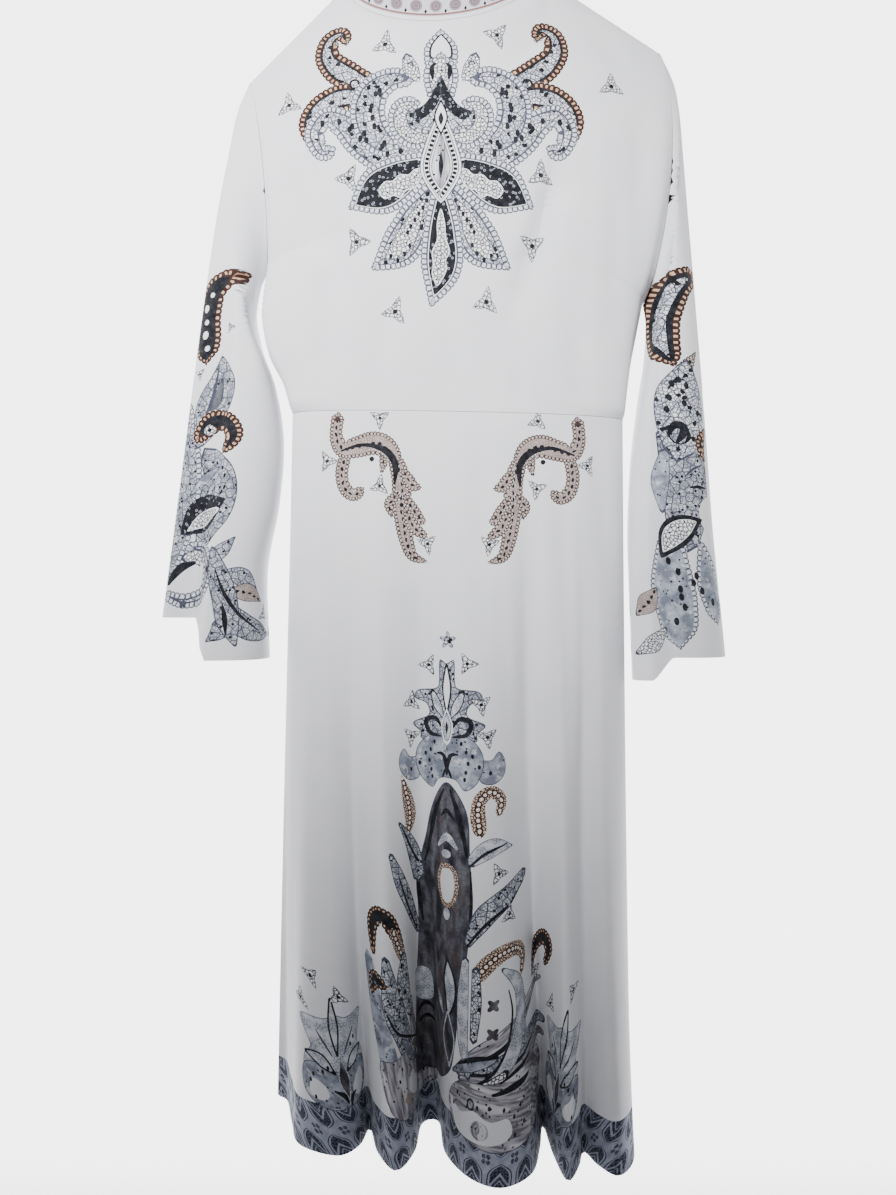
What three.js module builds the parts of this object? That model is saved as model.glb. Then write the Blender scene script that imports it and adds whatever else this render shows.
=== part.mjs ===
// A long white jersey caftan with bell sleeves and a stand collar, hanging on a plain hanger.
// Millimetres. +Z is up, the side shown faces -Y, and the origin is the inside top of the hook.

import * as THREE from 'three';

const WALL = 1.4; // the jersey with its seam allowances
const SEAM = 0.4; // clearance along every seam
const SHARP_FOLD = 0.6; // two pieces that meet more sharply than this keep their own slopes

const CLOTH = new THREE.MeshStandardMaterial({ color: 0xe4e4e6, roughness: 0.85 });
const BAND = new THREE.MeshStandardMaterial({ color: 0x9aa0ad, roughness: 0.85 });
const WOOD = new THREE.MeshStandardMaterial({ color: 0xb99a6f, roughness: 0.5 });
const WIRE = new THREE.MeshStandardMaterial({ color: 0xb8bcc0, roughness: 0.25, metalness: 1 });

// The waist seam: its ends, its height in the middle, its fall to the right and its depths.
const WAIST = { left: -161, right: 181, z: -565, fall: 0.02, front: 38, back: 34, square: 2.6 };

// The hem as it would run with no folds in it.
const HEM = { left: -180, right: 186, z: -1303, front: 52, back: 70, square: 2.4 };
const FOLD_GROWTH = 2.1; // how late the folds open on their way down from the waist

// The hem seen from above, from the left side seam round the front to the right side seam.
const FRONT_FOLDS = [
  { place: 'left seam', x: -189, y: 68 },
  { place: 'left pleat', x: -176, y: 54 },
  { place: 'first flank', x: -164, y: 10 },
  { place: 'first corner', x: -150, y: -30 },
  { place: 'first crest', x: -110, y: -50 },
  { place: 'first side', x: -89, y: -32 },
  { place: 'first trough', x: -81, y: -2 },
  { place: 'second flank', x: -70, y: -44 },
  { place: 'second crest', x: -50, y: -75 },
  { place: 'second side', x: -33, y: -42 },
  { place: 'second trough', x: -27, y: 8 },
  { place: 'trough floor', x: -10, y: 12 },
  { place: 'third flank', x: -3, y: -44 },
  { place: 'third shoulder', x: 20, y: -86 },
  { place: 'third crest', x: 50, y: -102 },
  { place: 'third corner', x: 80, y: -80 },
  { place: 'third side', x: 92, y: -38 },
  { place: 'third trough', x: 99, y: 3 },
  { place: 'fourth flank', x: 104, y: -48 },
  { place: 'fourth crest', x: 113, y: -91 },
  { place: 'fourth side', x: 127, y: -68 },
  { place: 'fourth trough', x: 135, y: -43 },
  { place: 'fifth flank', x: 146, y: -66 },
  { place: 'fifth crest', x: 163, y: -83 },
  { place: 'fifth corner', x: 182, y: -58 },
  { place: 'right side', x: 189, y: -12 },
  { place: 'right seam', x: 189, y: 24 },
];

// The same line going on round the back, from the right side seam to the left one.
const BACK_FOLDS = [
  { place: 'first crest', x: 168, y: 84 },
  { place: 'first side', x: 136, y: 82 },
  { place: 'first trough', x: 112, y: 50 },
  { place: 'second flank', x: 92, y: 72 },
  { place: 'second crest', x: 62, y: 98 },
  { place: 'second side', x: 32, y: 84 },
  { place: 'second trough', x: 8, y: 52 },
  { place: 'third flank', x: -16, y: 70 },
  { place: 'third crest', x: -50, y: 100 },
  { place: 'third side', x: -82, y: 86 },
  { place: 'third trough', x: -104, y: 54 },
  { place: 'fourth flank', x: -126, y: 74 },
  { place: 'fourth crest', x: -154, y: 100 },
  { place: 'left side', x: -183, y: 92 },
];

// The neck opening, whose right point hangs a little higher than the left one.
const NECK = {
  left: { x: -105, z: -115 },
  right: { x: 92, z: -102 },
  frontDrop: 63,
  backDrop: 24,
  frontDepth: 34,
  backDepth: 30,
};
const BINDING_HEIGHT = 5;
const COLLAR_HEIGHT = 22;
const COLLAR_LEAN = 0.14; // how far the collar leans in for each millimetre of height

// Each armhole runs from the shoulder tip down to the underarm and bows sideways between them.
const ARMHOLES = {
  left: { tip: { x: -206, z: -217 }, under: { x: -188, z: -414 }, bow: 10, depth: 28 },
  right: { tip: { x: 218, z: -185 }, under: { x: 202, z: -447 }, bow: 16, depth: 28 },
};

const ARMHOLE_POINT = 1.5; // above 1 the armhole narrows towards the tip and the underarm

// The bodice's side seams from the waist, at 0, to the underarm, at 1.
const SIDE_SEAMS = {
  left: [
    { at: 0, x: -161 },
    { at: 0.2, x: -170 },
    { at: 0.42, x: -186 },
    { at: 0.7, x: -193 },
    { at: 1, x: -188 },
  ],
  right: [
    { at: 0, x: 181 },
    { at: 0.4, x: 188 },
    { at: 1, x: 202 },
  ],
};
const UNDERARM = 0.42; // the share of the bodice's height that lies below the underarm

// The bodice's depth on its middle line, from the waist, at 0, to the neckline, at 1.
const BODICE_DEPTH = [
  { at: 0, front: 38, back: 34 },
  { at: 0.3, front: 42, back: 37 },
  { at: 0.6, front: 47, back: 40 },
  { at: 0.85, front: 46, back: 40 },
  { at: 1, front: 34, back: 30 },
];
const SHOULDER_FALL = 0.6; // how much of an armhole's height the bodice closes in over, upwards

const SHOULDER_ROUND = 7; // the half thickness that the hanger's arm gives the shoulder
const SHOULDER_TURN = 0.06; // the share of the armhole's height in which the cloth turns over it

// The bodice's largest creases: its ends, half its width and its depth, into the cloth.
const BODICE_CREASES = [
  { x: -178, z: -300, toX: -112, toZ: -430, half: 17, depth: 6 },
  { x: 122, z: -292, toX: 80, toZ: -412, half: 16, depth: 5 },
  { x: 108, z: -350, toX: 46, toZ: -528, half: 18, depth: 5 },
  { x: 196, z: -230, toX: 190, toZ: -420, half: 14, depth: 7 },
  { x: -192, z: -250, toX: -170, toZ: -350, half: 14, depth: 5 },
];

// Each sleeve from its armhole, at 0, to its hem, at 1: its outer and inner edges and depths.
const SLEEVES = {
  left: [
    { at: 0, outX: -206, outZ: -217, inX: -188, inZ: -414, front: 28, back: 28 },
    { at: 0.08, outX: -219, outZ: -249, inX: -197, inZ: -438, front: 30, back: 29 },
    { at: 0.2, outX: -231, outZ: -312, inX: -200, inZ: -478, front: 32, back: 31 },
    { at: 0.32, outX: -243, outZ: -386, inX: -180, inZ: -532, front: 34, back: 33 },
    { at: 0.46, outX: -255, outZ: -468, inX: -171, inZ: -590, front: 35, back: 35 },
    { at: 0.62, outX: -268, outZ: -562, inX: -176, inZ: -656, front: 37, back: 38 },
    { at: 0.78, outX: -281, outZ: -660, inX: -188, inZ: -722, front: 40, back: 41 },
    { at: 1, outX: -296, outZ: -772, inX: -186, inZ: -814, front: 46, back: 44 },
  ],
  right: [
    { at: 0, outX: 218, outZ: -185, inX: 202, inZ: -447, front: 28, back: 28 },
    { at: 0.08, outX: 231, outZ: -217, inX: 205, inZ: -468, front: 30, back: 29 },
    { at: 0.2, outX: 241, outZ: -290, inX: 203, inZ: -506, front: 32, back: 31 },
    { at: 0.32, outX: 249, outZ: -378, inX: 197, inZ: -552, front: 34, back: 33 },
    { at: 0.46, outX: 257, outZ: -478, inX: 190, inZ: -612, front: 36, back: 35 },
    { at: 0.62, outX: 266, outZ: -590, inX: 187, inZ: -684, front: 39, back: 38 },
    { at: 0.78, outX: 273, outZ: -690, inX: 189, inZ: -756, front: 43, back: 41 },
    { at: 1, outX: 284, outZ: -811, inX: 192, inZ: -837, front: 48, back: 44 },
  ],
};

// The long fold down each sleeve: where it lies, as a share of the width from the outer edge,
// how wide the turn is there, and how far out the cloth stands on each side of it at the hem.
const SLEEVE_FOLDS = {
  left: { at: 0.42, turn: 0.07, outerPart: 0.42, innerPart: 1.08 },
  right: { at: 0.74, turn: 0.07, outerPart: 1.08, innerPart: 0.3 },
};
const SLEEVE_SQUARE = 2.5;

// The hanger: two arms that slope from the middle, tipped a little to the left by the load.
const HANGER = {
  x: -10.5, z: -54.8, reach: 226, slope: 35, tilt: 5, thick: 8, edge: 3.4, middle: 30, tip: 16,
};
const HOOK = { wire: 1.9, radius: 20, bottom: -61.15, stemX: -10.5 };

const COLUMNS = { skirtFront: 58, skirtBack: 40, neck: 14, shoulder: 5, half: 12 };
const ROWS = { skirt: 17, sideSeam: 4 };
const SLEEVE_RINGS = [0, 0.04, 0.09, 0.15, 0.22, 0.29, 0.36, 0.44, 0.52, 0.6, 0.68, 0.76, 0.84, 0.92, 1];

const { lerp, clamp, smoothstep, degToRad } = THREE.MathUtils;

/** How far value has come from one end to the other, from 0 to 1. */
function share(value, from, to) {
  return clamp((value - from) / (to - from), 0, 1);
}

/** One column of a table, read between its rows along a smooth curve. */
function read(table, column, at) {
  const last = table.length - 1;
  let i = 0;
  while (i < last - 1 && at > table[i + 1].at) {
    i += 1;
  }
  const slope = (k) => {
    const before = table[Math.max(k - 1, 0)];
    const after = table[Math.min(k + 1, last)];
    return (after[column] - before[column]) / (after.at - before.at);
  };
  const span = table[i + 1].at - table[i].at;
  const t = clamp((at - table[i].at) / span, 0, 1);
  const square = t * t;
  const cube = square * t;
  return (2 * cube - 3 * square + 1) * table[i][column]
    + (cube - 2 * square + t) * span * slope(i)
    + (3 * square - 2 * cube) * table[i + 1][column]
    + (cube - square) * span * slope(i + 1);
}

/** A point at a share of a line's length. */
function pointAlong(line, part) {
  const lengths = [0];
  for (let i = 1; i < line.length; i += 1) {
    lengths.push(lengths[i - 1] + line[i].distanceTo(line[i - 1]));
  }
  const wanted = part * lengths[lengths.length - 1];
  let i = 1;
  while (i < line.length - 1 && lengths[i] < wanted) {
    i += 1;
  }
  const t = (wanted - lengths[i - 1]) / (lengths[i] - lengths[i - 1]);
  return line[i - 1].clone().lerp(line[i], t);
}

/** Half an oval seen from above, from its left end to its right one; side is -1 for the front. */
function halfOval({ left, right, square }, depth, side) {
  const middle = (left + right) / 2;
  const reach = (right - left) / 2;
  const steps = 160;
  return Array.from({ length: steps + 1 }, (_, i) => {
    const turn = Math.PI * (1 - i / steps);
    const across = Math.sign(Math.cos(turn)) * Math.abs(Math.cos(turn)) ** (2 / square);
    const out = Math.abs(Math.sin(turn)) ** (2 / square);
    return new THREE.Vector2(middle + reach * across, side * depth * out);
  });
}

/** The folded hem of one half, seen from above, from left to right. */
function foldedHem(side) {
  const knots = [...FRONT_FOLDS, ...BACK_FOLDS].map(({ x, y }) => new THREE.Vector3(x, y, 0));
  const curve = new THREE.CatmullRomCurve3(knots, true, 'catmullrom', 0.5);
  const front = (FRONT_FOLDS.length - 1) / knots.length;
  const [from, to] = side < 0 ? [0, front] : [1, front];
  const steps = 400;
  return Array.from({ length: steps + 1 }, (_, i) => {
    const point = curve.getPoint(lerp(from, to, i / steps) % 1);
    return new THREE.Vector2(point.x, point.y);
  });
}

/** The height of the waist seam at a place across it. */
function waistHeight(x) {
  return WAIST.z - WAIST.fall * x;
}

/**
 * A closed wall of cloth through a grid of points on its outer face.
 * rows[r][c] runs down and to the right, seen from outside, or to the left with mirrored set.
 * With ring set, the last column joins the first. beyond(r, c) gives the next piece's point
 * past an edge that is sewn to it, so that both walls are cut alike there, unless the seam is
 * a sharp fold. isRidge(r, c) marks points on a ridge along X, where the wall is cut upright.
 */
function wall(rows, { ring = false, mirrored = false, beyond = () => undefined, isRidge = () => false } = {}) {
  const height = rows.length;
  const width = rows[0].length;
  const at = (r, c) => rows[clamp(r, 0, height - 1)][ring ? (c + width) % width : clamp(c, 0, width - 1)];
  const neighbour = (r, c) => {
    const outside = r < 0 || r >= height || (!ring && (c < 0 || c >= width));
    return (outside && beyond(r, c)) || at(r, c);
  };
  const facing = (r, c, pick) => {
    const across = pick(r, c + 1).clone().sub(pick(r, c - 1));
    const down = pick(r + 1, c).clone().sub(pick(r - 1, c));
    return down.cross(across).normalize().multiplyScalar(mirrored ? -1 : 1);
  };
  const outer = [];
  const inner = [];
  for (let r = 0; r < height; r += 1) {
    for (let c = 0; c < width; c += 1) {
      const own = facing(r, c, at);
      const shared = facing(r, c, neighbour);
      const normal = own.dot(shared) > SHARP_FOLD ? shared : own;
      if (isRidge(r, c)) {
        normal.setY(0).normalize();
      }
      outer.push(rows[r][c]);
      inner.push(rows[r][c].clone().addScaledVector(normal, -WALL));
    }
  }
  const index = [];
  const quad = (a, b, c, d) => (mirrored ? index.push(a, c, b, a, d, c) : index.push(a, b, c, a, c, d));
  const total = height * width;
  const columns = ring ? width : width - 1;
  for (let r = 0; r < height - 1; r += 1) {
    for (let c = 0; c < columns; c += 1) {
      const [a, b] = [r * width + c, r * width + ((c + 1) % width)];
      quad(a, a + width, b + width, b);
      quad(a + total, b + total, b + width + total, a + width + total);
    }
    if (!ring) {
      const [left, right] = [r * width, (r + 1) * width - 1];
      quad(left, left + total, left + width + total, left + width);
      quad(right, right + width, right + width + total, right + total);
    }
  }
  for (let c = 0; c < columns; c += 1) {
    const next = (c + 1) % width;
    const foot = (height - 1) * width;
    quad(c, next, next + total, c + total);
    quad(foot + c, foot + c + total, foot + next + total, foot + next);
  }
  const places = [...outer, ...inner].flatMap((point) => point.toArray());
  const geometry = new THREE.BufferGeometry();
  geometry.setAttribute('position', new THREE.Float32BufferAttribute(places, 3));
  geometry.setIndex(index);
  return geometry;
}

/** Draws some points of a grid back from a seam, towards their neighbours inside the piece. */
function trim(rows, isOnSeam, stepRow, stepColumn) {
  rows.forEach((row, r) => row.forEach((point, c) => {
    if (isOnSeam(r, c)) {
      const inside = rows[r + stepRow(r)][c + stepColumn(c)];
      point.add(inside.clone().sub(point).setLength(SEAM / 2));
    }
  }));
}

/** One half of the skirt: the waist oval opens into the folded hem on its way down. */
function skirtRows(side) {
  const columns = side < 0 ? COLUMNS.skirtFront : COLUMNS.skirtBack;
  const depthOf = (oval) => (side < 0 ? oval.front : oval.back);
  const lines = [
    halfOval(WAIST, depthOf(WAIST), side),
    halfOval(HEM, depthOf(HEM), side),
    foldedHem(side),
  ];
  const across = Array.from({ length: columns + 1 }, (_, c) => lines.map((line) => pointAlong(line, c / columns)));
  return Array.from({ length: ROWS.skirt + 1 }, (_, r) => {
    const down = (r / ROWS.skirt) ** 0.85;
    return across.map(([top, plain, folded]) => {
      const point = top.clone().lerp(plain, down);
      point.addScaledVector(folded.clone().sub(plain), down ** FOLD_GROWTH);
      return new THREE.Vector3(point.x, point.y, lerp(waistHeight(top.x), HEM.z, down));
    });
  });
}

/** Both halves of the skirt, trimmed along the waist and the side seams. */
function skirtPanels() {
  const halves = { '-1': skirtRows(-1), 1: skirtRows(1) };
  const seamColumn = (rows, c) => c === 0 || c === rows[0].length - 1;
  const panel = (side) => {
    const rows = halves[side];
    const other = halves[-side];
    const beyond = (r, c) => {
      if (r < 0 || r > ROWS.skirt) {
        return undefined;
      }
      return other[r][c < 0 ? 1 : other[0].length - 2];
    };
    return wall(rows, { mirrored: side > 0, beyond });
  };
  for (const side of [-1, 1]) {
    const rows = halves[side];
    trim(rows, (r) => r === 0, () => 1, () => 0);
    trim(rows, (r, c) => seamColumn(rows, c), () => 0, (c) => (c === 0 ? 1 : -1));
  }
  return { front: panel(-1), back: panel(1) };
}

/** A point of the neckline; turn runs from 0 at the right neck point to pi at the left one. */
function necklinePoint(turn, side) {
  const { left, right } = NECK;
  const out = Math.sin(turn);
  const across = (1 - Math.cos(turn)) / 2;
  const drop = side < 0 ? NECK.frontDrop : NECK.backDrop;
  const depth = side < 0 ? NECK.frontDepth : NECK.backDepth;
  return new THREE.Vector3(
    lerp(right.x, left.x, across),
    side * depth * out,
    lerp(right.z, left.z, across) - drop * out,
  );
}

/** A point of an armhole's edge; turn runs from 0 at the shoulder tip to pi at the underarm. */
function armholePoint({ tip, under, bow, depth }, turn, side) {
  const down = (1 - Math.cos(turn)) / 2;
  const out = Math.sin(turn) ** ARMHOLE_POINT;
  return new THREE.Vector3(
    lerp(tip.x, under.x, down) + bow * out,
    side * depth * out,
    lerp(tip.z, under.z, down),
  );
}

/** The edge of a bodice panel, up the side seam and then round the armhole to the shoulder. */
function bodiceEdge(hand, up, side) {
  const armhole = ARMHOLES[hand];
  if (up > UNDERARM) {
    return armholePoint(armhole, Math.PI * (1 - share(up, UNDERARM, 1)), side);
  }
  const risen = up / UNDERARM;
  const x = read(SIDE_SEAMS[hand], 'x', risen);
  return new THREE.Vector3(x, 0, lerp(waistHeight(x), armhole.under.z, risen));
}

/** The top of a bodice panel: left shoulder seam, neckline, right shoulder seam. */
function bodiceTop(side) {
  const shoulder = (tip, neck, part) => new THREE.Vector3(
    lerp(tip.x, neck.x, part),
    0,
    lerp(tip.z, neck.z, part),
  );
  const points = [];
  for (let i = 0; i < COLUMNS.shoulder; i += 1) {
    points.push(shoulder(ARMHOLES.left.tip, NECK.left, i / COLUMNS.shoulder));
  }
  for (let i = 0; i <= COLUMNS.neck; i += 1) {
    points.push(necklinePoint(Math.PI * (1 - i / COLUMNS.neck), side));
  }
  for (let i = 1; i <= COLUMNS.shoulder; i += 1) {
    points.push(shoulder(NECK.right, ARMHOLES.right.tip, i / COLUMNS.shoulder));
  }
  return points;
}

/** How far the creases draw a point of the bodice into the cloth. */
function creaseDepth(x, z) {
  const point = new THREE.Vector3(x, 0, z);
  return BODICE_CREASES.reduce((sum, crease) => {
    const line = new THREE.Line3(
      new THREE.Vector3(crease.x, 0, crease.z),
      new THREE.Vector3(crease.toX, 0, crease.toZ),
    );
    const along = line.closestPointToPointParameter(point, true);
    const away = line.at(along, new THREE.Vector3()).distanceTo(point) / crease.half;
    return sum + crease.depth * Math.exp(-away * away) * Math.sin(Math.PI * clamp(along, 0.12, 0.88));
  }, 0);
}

/** One half of the bodice, stretched between the waist, both edges and the shoulders. */
function bodiceRows(side) {
  const top = bodiceTop(side);
  const [first, last] = [top[0], top[top.length - 1]];
  const parts = top.map((point) => (point.x - first.x) / (last.x - first.x));
  const waist = halfOval(WAIST, side < 0 ? WAIST.front : WAIST.back, side);
  const bottom = parts.map((part) => {
    const { x, y } = pointAlong(waist, part);
    return new THREE.Vector3(x, y, waistHeight(x));
  });
  const rises = [];
  for (let i = 0; i < ROWS.sideSeam; i += 1) {
    rises.push((UNDERARM * i) / ROWS.sideSeam);
  }
  for (let i = 0; i <= COLUMNS.half; i += 1) {
    rises.push(lerp(UNDERARM, 1, i / COLUMNS.half));
  }
  const corners = [bottom[0], bottom[bottom.length - 1], first, last];
  return rises.reverse().map((up) => {
    const left = bodiceEdge('left', up, side);
    const right = bodiceEdge('right', up, side);
    const middle = side * read(BODICE_DEPTH, side < 0 ? 'front' : 'back', up);
    const fallen = (1 + Math.cos(Math.PI * share(up, UNDERARM, 1))) / 2;
    const closing = up === 1 ? 1 : (1 - share(fallen, 0, SHOULDER_FALL)) ** 1.5;
    return parts.map((part, c) => {
      const stretch = (axis) => lerp(left[axis], right[axis], part)
        + lerp(bottom[c][axis], top[c][axis], up)
        - lerp(lerp(corners[0][axis], corners[1][axis], part), lerp(corners[2][axis], corners[3][axis], part), up);
      const [x, z] = [stretch('x'), stretch('z')];
      const bulge = (1 - Math.abs(2 * part - 1) ** WAIST.square) ** (1 / WAIST.square);
      if (up === 0 || up === 1) {
        return new THREE.Vector3(x, (up ? top : bottom)[c].y, z);
      }
      const dent = side * creaseDepth(x, z) * Math.sin(Math.PI * up);
      const round = side * SHOULDER_ROUND * Math.sqrt(share(fallen, 0, SHOULDER_TURN)) * closing;
      const body = lerp(middle - dent, top[c].y, closing) + round;
      return new THREE.Vector3(x, lerp(lerp(left.y, right.y, part), body, bulge), z);
    });
  });
}

/** A sleeve, as rings from the armhole to the hem, with one long fold that opens downwards. */
function sleeveRows(hand) {
  const table = SLEEVES[hand];
  const fold = SLEEVE_FOLDS[hand];
  const outwards = hand === 'left' ? -1 : 1;
  const { bow } = ARMHOLES[hand];
  return SLEEVE_RINGS.map((at) => {
    const edge = (column) => read(table, column, at);
    const folded = smoothstep(at, 0.12, 0.9);
    const settled = smoothstep(at, 0, 0.3);
    const power = (value, exponent) => Math.sign(value) * Math.abs(value) ** exponent;
    return Array.from({ length: 2 * COLUMNS.half }, (_, c) => {
      const turn = (Math.PI * c) / COLUMNS.half;
      const out = power(Math.sin(turn), lerp(ARMHOLE_POINT, 2 / SLEEVE_SQUARE, settled));
      const fromOuter = (1 - power(Math.cos(turn), lerp(1, 2 / SLEEVE_SQUARE, settled))) / 2;
      const past = smoothstep(fromOuter, fold.at - fold.turn, fold.at + fold.turn);
      const opened = folded * (out > 0 ? 1 : 0.3);
      const stands = lerp(1, lerp(fold.outerPart, fold.innerPart, past), opened);
      const sideways = bow * (1 - settled) * Math.abs(out);
      return new THREE.Vector3(
        lerp(edge('outX'), edge('inX'), fromOuter) + sideways + outwards * SEAM,
        -out * stands * (out > 0 ? edge('front') : edge('back')),
        lerp(edge('outZ'), edge('inZ'), lerp(fromOuter, past, folded ** 2)),
      );
    });
  });
}

/** Both halves of the bodice and both sleeves, trimmed where they are sewn together. */
function upperPieces() {
  const bodice = { '-1': bodiceRows(-1), 1: bodiceRows(1) };
  const sleeves = { left: sleeveRows('left'), right: sleeveRows('right') };
  const { half, shoulder } = COLUMNS;
  const last = { row: bodice[1].length - 1, column: bodice[1][0].length - 1 };
  const around = 2 * half;
  const isShoulder = (c) => c <= shoulder || c >= last.column - shoulder;
  const isShoulderSeam = (r, c) => r === 0 && isShoulder(c);
  const ringColumn = (r, side) => (side < 0 ? r : (around - r) % around);
  const bodicePanel = (side) => {
    const other = bodice[-side];
    const beyond = (r, c) => {
      if (r < 0) {
        return isShoulder(c) ? other[1][clamp(c, 0, last.column)] : undefined;
      }
      if (r > last.row || (c >= 0 && c <= last.column)) {
        return undefined;
      }
      const inwards = c < 0 ? 1 : last.column - 1;
      return r >= half ? other[r][inwards] : sleeves[c < 0 ? 'left' : 'right'][1][ringColumn(r, side)];
    };
    return wall(bodice[side], { mirrored: side > 0, beyond, isRidge: isShoulderSeam });
  };
  const sleeve = (hand) => {
    const beyond = (r, c) => {
      if (r >= 0) {
        return undefined;
      }
      const column = (c + around) % around;
      const row = column <= half ? column : around - column;
      return bodice[column <= half ? -1 : 1][row][hand === 'left' ? 1 : last.column - 1];
    };
    return wall(sleeves[hand], { ring: true, mirrored: hand === 'right', beyond });
  };
  for (const side of [-1, 1]) {
    trim(bodice[side], isShoulderSeam, () => 1, () => 0);
    trim(bodice[side], (r) => r === last.row, () => -1, () => 0);
    trim(bodice[side], (r, c) => c === 0 || c === last.column, () => 0, (c) => (c === 0 ? 1 : -1));
  }
  for (const hand of ['left', 'right']) {
    trim(sleeves[hand], (r) => r === 0, () => 1, () => 0);
  }
  return {
    front: bodicePanel(-1),
    back: bodicePanel(1),
    left: sleeve('left'),
    right: sleeve('right'),
  };
}

/** A band that stands on the neckline all round, between two heights above it. */
function neckBand(from, to) {
  const rows = [to, from].map((height) => {
    const points = [];
    for (const side of [-1, 1]) {
      for (let i = 0; i < COLUMNS.neck; i += 1) {
        const turn = (Math.PI * i) / COLUMNS.neck;
        const point = necklinePoint(side < 0 ? Math.PI - turn : turn, side);
        const inwards = new THREE.Vector3((NECK.left.x + NECK.right.x) / 2 - point.x, -point.y, 0).normalize();
        point.addScaledVector(inwards, COLLAR_LEAN * height);
        point.z += height;
        points.push(point);
      }
    }
    return points;
  });
  return wall(rows, { ring: true });
}

/** The hanger's body: an arm's outline on each side, with rounded upper edges. */
function hangerBody() {
  const { reach, slope, middle, tip, thick, edge } = HANGER;
  const rise = Math.tan(degToRad(slope));
  const top = (x) => -Math.abs(x) * rise;
  const outline = new THREE.Shape();
  const end = reach * Math.cos(degToRad(slope)) - edge;
  outline.moveTo(-end, top(end) - edge);
  outline.lineTo(-end, top(end) - tip);
  outline.quadraticCurveTo(-end / 2, top(end / 2) - tip, 0, -middle);
  outline.quadraticCurveTo(end / 2, top(end / 2) - tip, end, top(end) - tip);
  outline.lineTo(end, top(end) - edge);
  outline.lineTo(12, top(12) - edge - 1);
  outline.quadraticCurveTo(0, -edge - 2, -12, top(12) - edge - 1);
  outline.closePath();
  const body = new THREE.ExtrudeGeometry(outline, {
    depth: thick - 2 * edge,
    bevelThickness: edge,
    bevelSize: edge - 1,
    bevelSegments: 2,
    curveSegments: 8,
  });
  body.translate(0, 0, edge - thick / 2);
  body.rotateX(Math.PI / 2);
  return body;
}

/** The hook: wire from the hanger's middle, round and over the rail. */
function hangerHook() {
  const { wire, radius, bottom, stemX } = HOOK;
  const bend = radius + wire;
  const path = new THREE.CurvePath();
  const turnFrom = degToRad(-40);
  const turnTo = degToRad(200);
  const ringPoint = (turn) => new THREE.Vector3(bend * Math.cos(turn), 0, -radius + bend * Math.sin(turn));
  const start = ringPoint(turnFrom);
  const ahead = new THREE.Vector3(Math.sin(turnFrom), 0, -Math.cos(turnFrom)).multiplyScalar(10);
  const foot = new THREE.Vector3(stemX, 0, bottom);
  path.add(new THREE.CubicBezierCurve3(
    foot,
    foot.clone().add(new THREE.Vector3(0, 0, 14)),
    start.clone().add(ahead),
    start,
  ));
  const steps = 16;
  const arc = Array.from({ length: steps + 1 }, (_, i) => ringPoint(lerp(turnFrom, turnTo, i / steps)));
  path.add(new THREE.CatmullRomCurve3(arc));
  const section = new THREE.Shape();
  section.absarc(0, 0, wire, 0, 2 * Math.PI);
  return new THREE.ExtrudeGeometry(section, { extrudePath: path, steps: 36, curveSegments: 8 });
}

const caftan = new THREE.Group();

function add(name, geometry, material) {
  const mesh = new THREE.Mesh(geometry, material);
  mesh.name = name;
  caftan.add(mesh);
  return mesh;
}

const hanger = add('hanger_body', hangerBody(), WOOD);
hanger.position.set(HANGER.x, 0, HANGER.z);
hanger.rotation.y = -degToRad(HANGER.tilt);
add('hanger_hook', hangerHook(), WIRE);

const upper = upperPieces();
add('bodice_front', upper.front, CLOTH);
add('bodice_back', upper.back, CLOTH);
add('sleeve_left', upper.left, CLOTH);
add('sleeve_right', upper.right, CLOTH);
const skirt = skirtPanels();
add('skirt_front', skirt.front, CLOTH);
add('skirt_back', skirt.back, CLOTH);
add('neck_binding', neckBand(SEAM, BINDING_HEIGHT), CLOTH);
add('stand_collar', neckBand(BINDING_HEIGHT + SEAM, BINDING_HEIGHT + COLLAR_HEIGHT), BAND);

export default caftan;
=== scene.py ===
"""A long white printed caftan on a plain hanger: its cloth, its print and the studio round it.

Cloth is worked out in millimetres from the same formulas as the solids, and made in metres.
"""

import logging
import math
from dataclasses import dataclass, field
from enum import Enum
from typing import Any, Callable

import bpy
import numpy as np
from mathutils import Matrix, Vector
from mathutils.bvhtree import BVHTree
from mathutils.geometry import delaunay_2d_cdt


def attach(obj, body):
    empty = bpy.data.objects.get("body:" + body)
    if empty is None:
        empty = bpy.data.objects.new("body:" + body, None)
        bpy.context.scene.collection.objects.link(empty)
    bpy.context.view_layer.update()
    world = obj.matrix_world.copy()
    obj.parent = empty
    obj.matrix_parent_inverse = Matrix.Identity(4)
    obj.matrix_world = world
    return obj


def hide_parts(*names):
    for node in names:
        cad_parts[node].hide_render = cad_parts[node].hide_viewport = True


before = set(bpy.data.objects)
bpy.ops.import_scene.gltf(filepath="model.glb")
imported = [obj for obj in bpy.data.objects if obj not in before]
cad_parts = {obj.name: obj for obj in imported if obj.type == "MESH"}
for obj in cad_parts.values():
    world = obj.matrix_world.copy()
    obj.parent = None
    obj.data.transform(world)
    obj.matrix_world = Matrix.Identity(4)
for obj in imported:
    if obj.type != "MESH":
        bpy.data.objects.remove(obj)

log = logging.getLogger("caftan")

MM = 0.001

FROND_STEP = 2.6  # mm between the points of a frond's outline
LEAST_HALF = 0.25  # a frond's layer begins where its half width is this many mm
DRAWN_HALF = 0.2  # and is drawn no narrower than this
TIP_REACH = 0.9  # how far an end goes beyond its last point, as a share of its half width
END_INSET = 0.6  # the share of its inset that a layer keeps from the frond's end
CREASE_ENDS = (0.14, 0.86)  # the shares of a crease's length between which its depth is counted
LEAST_GAP = 0.03  # mm; nearer points of an outline are one
LEAST_DOUBLE_AREA = 1e-4  # mm2; smaller triangles are left out
MERGE_GAP = 0.01  # mm; nearer corners of the cut are one

Array = np.ndarray
Colour = tuple[float, float, float]
Spot = tuple[float, float]


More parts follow.
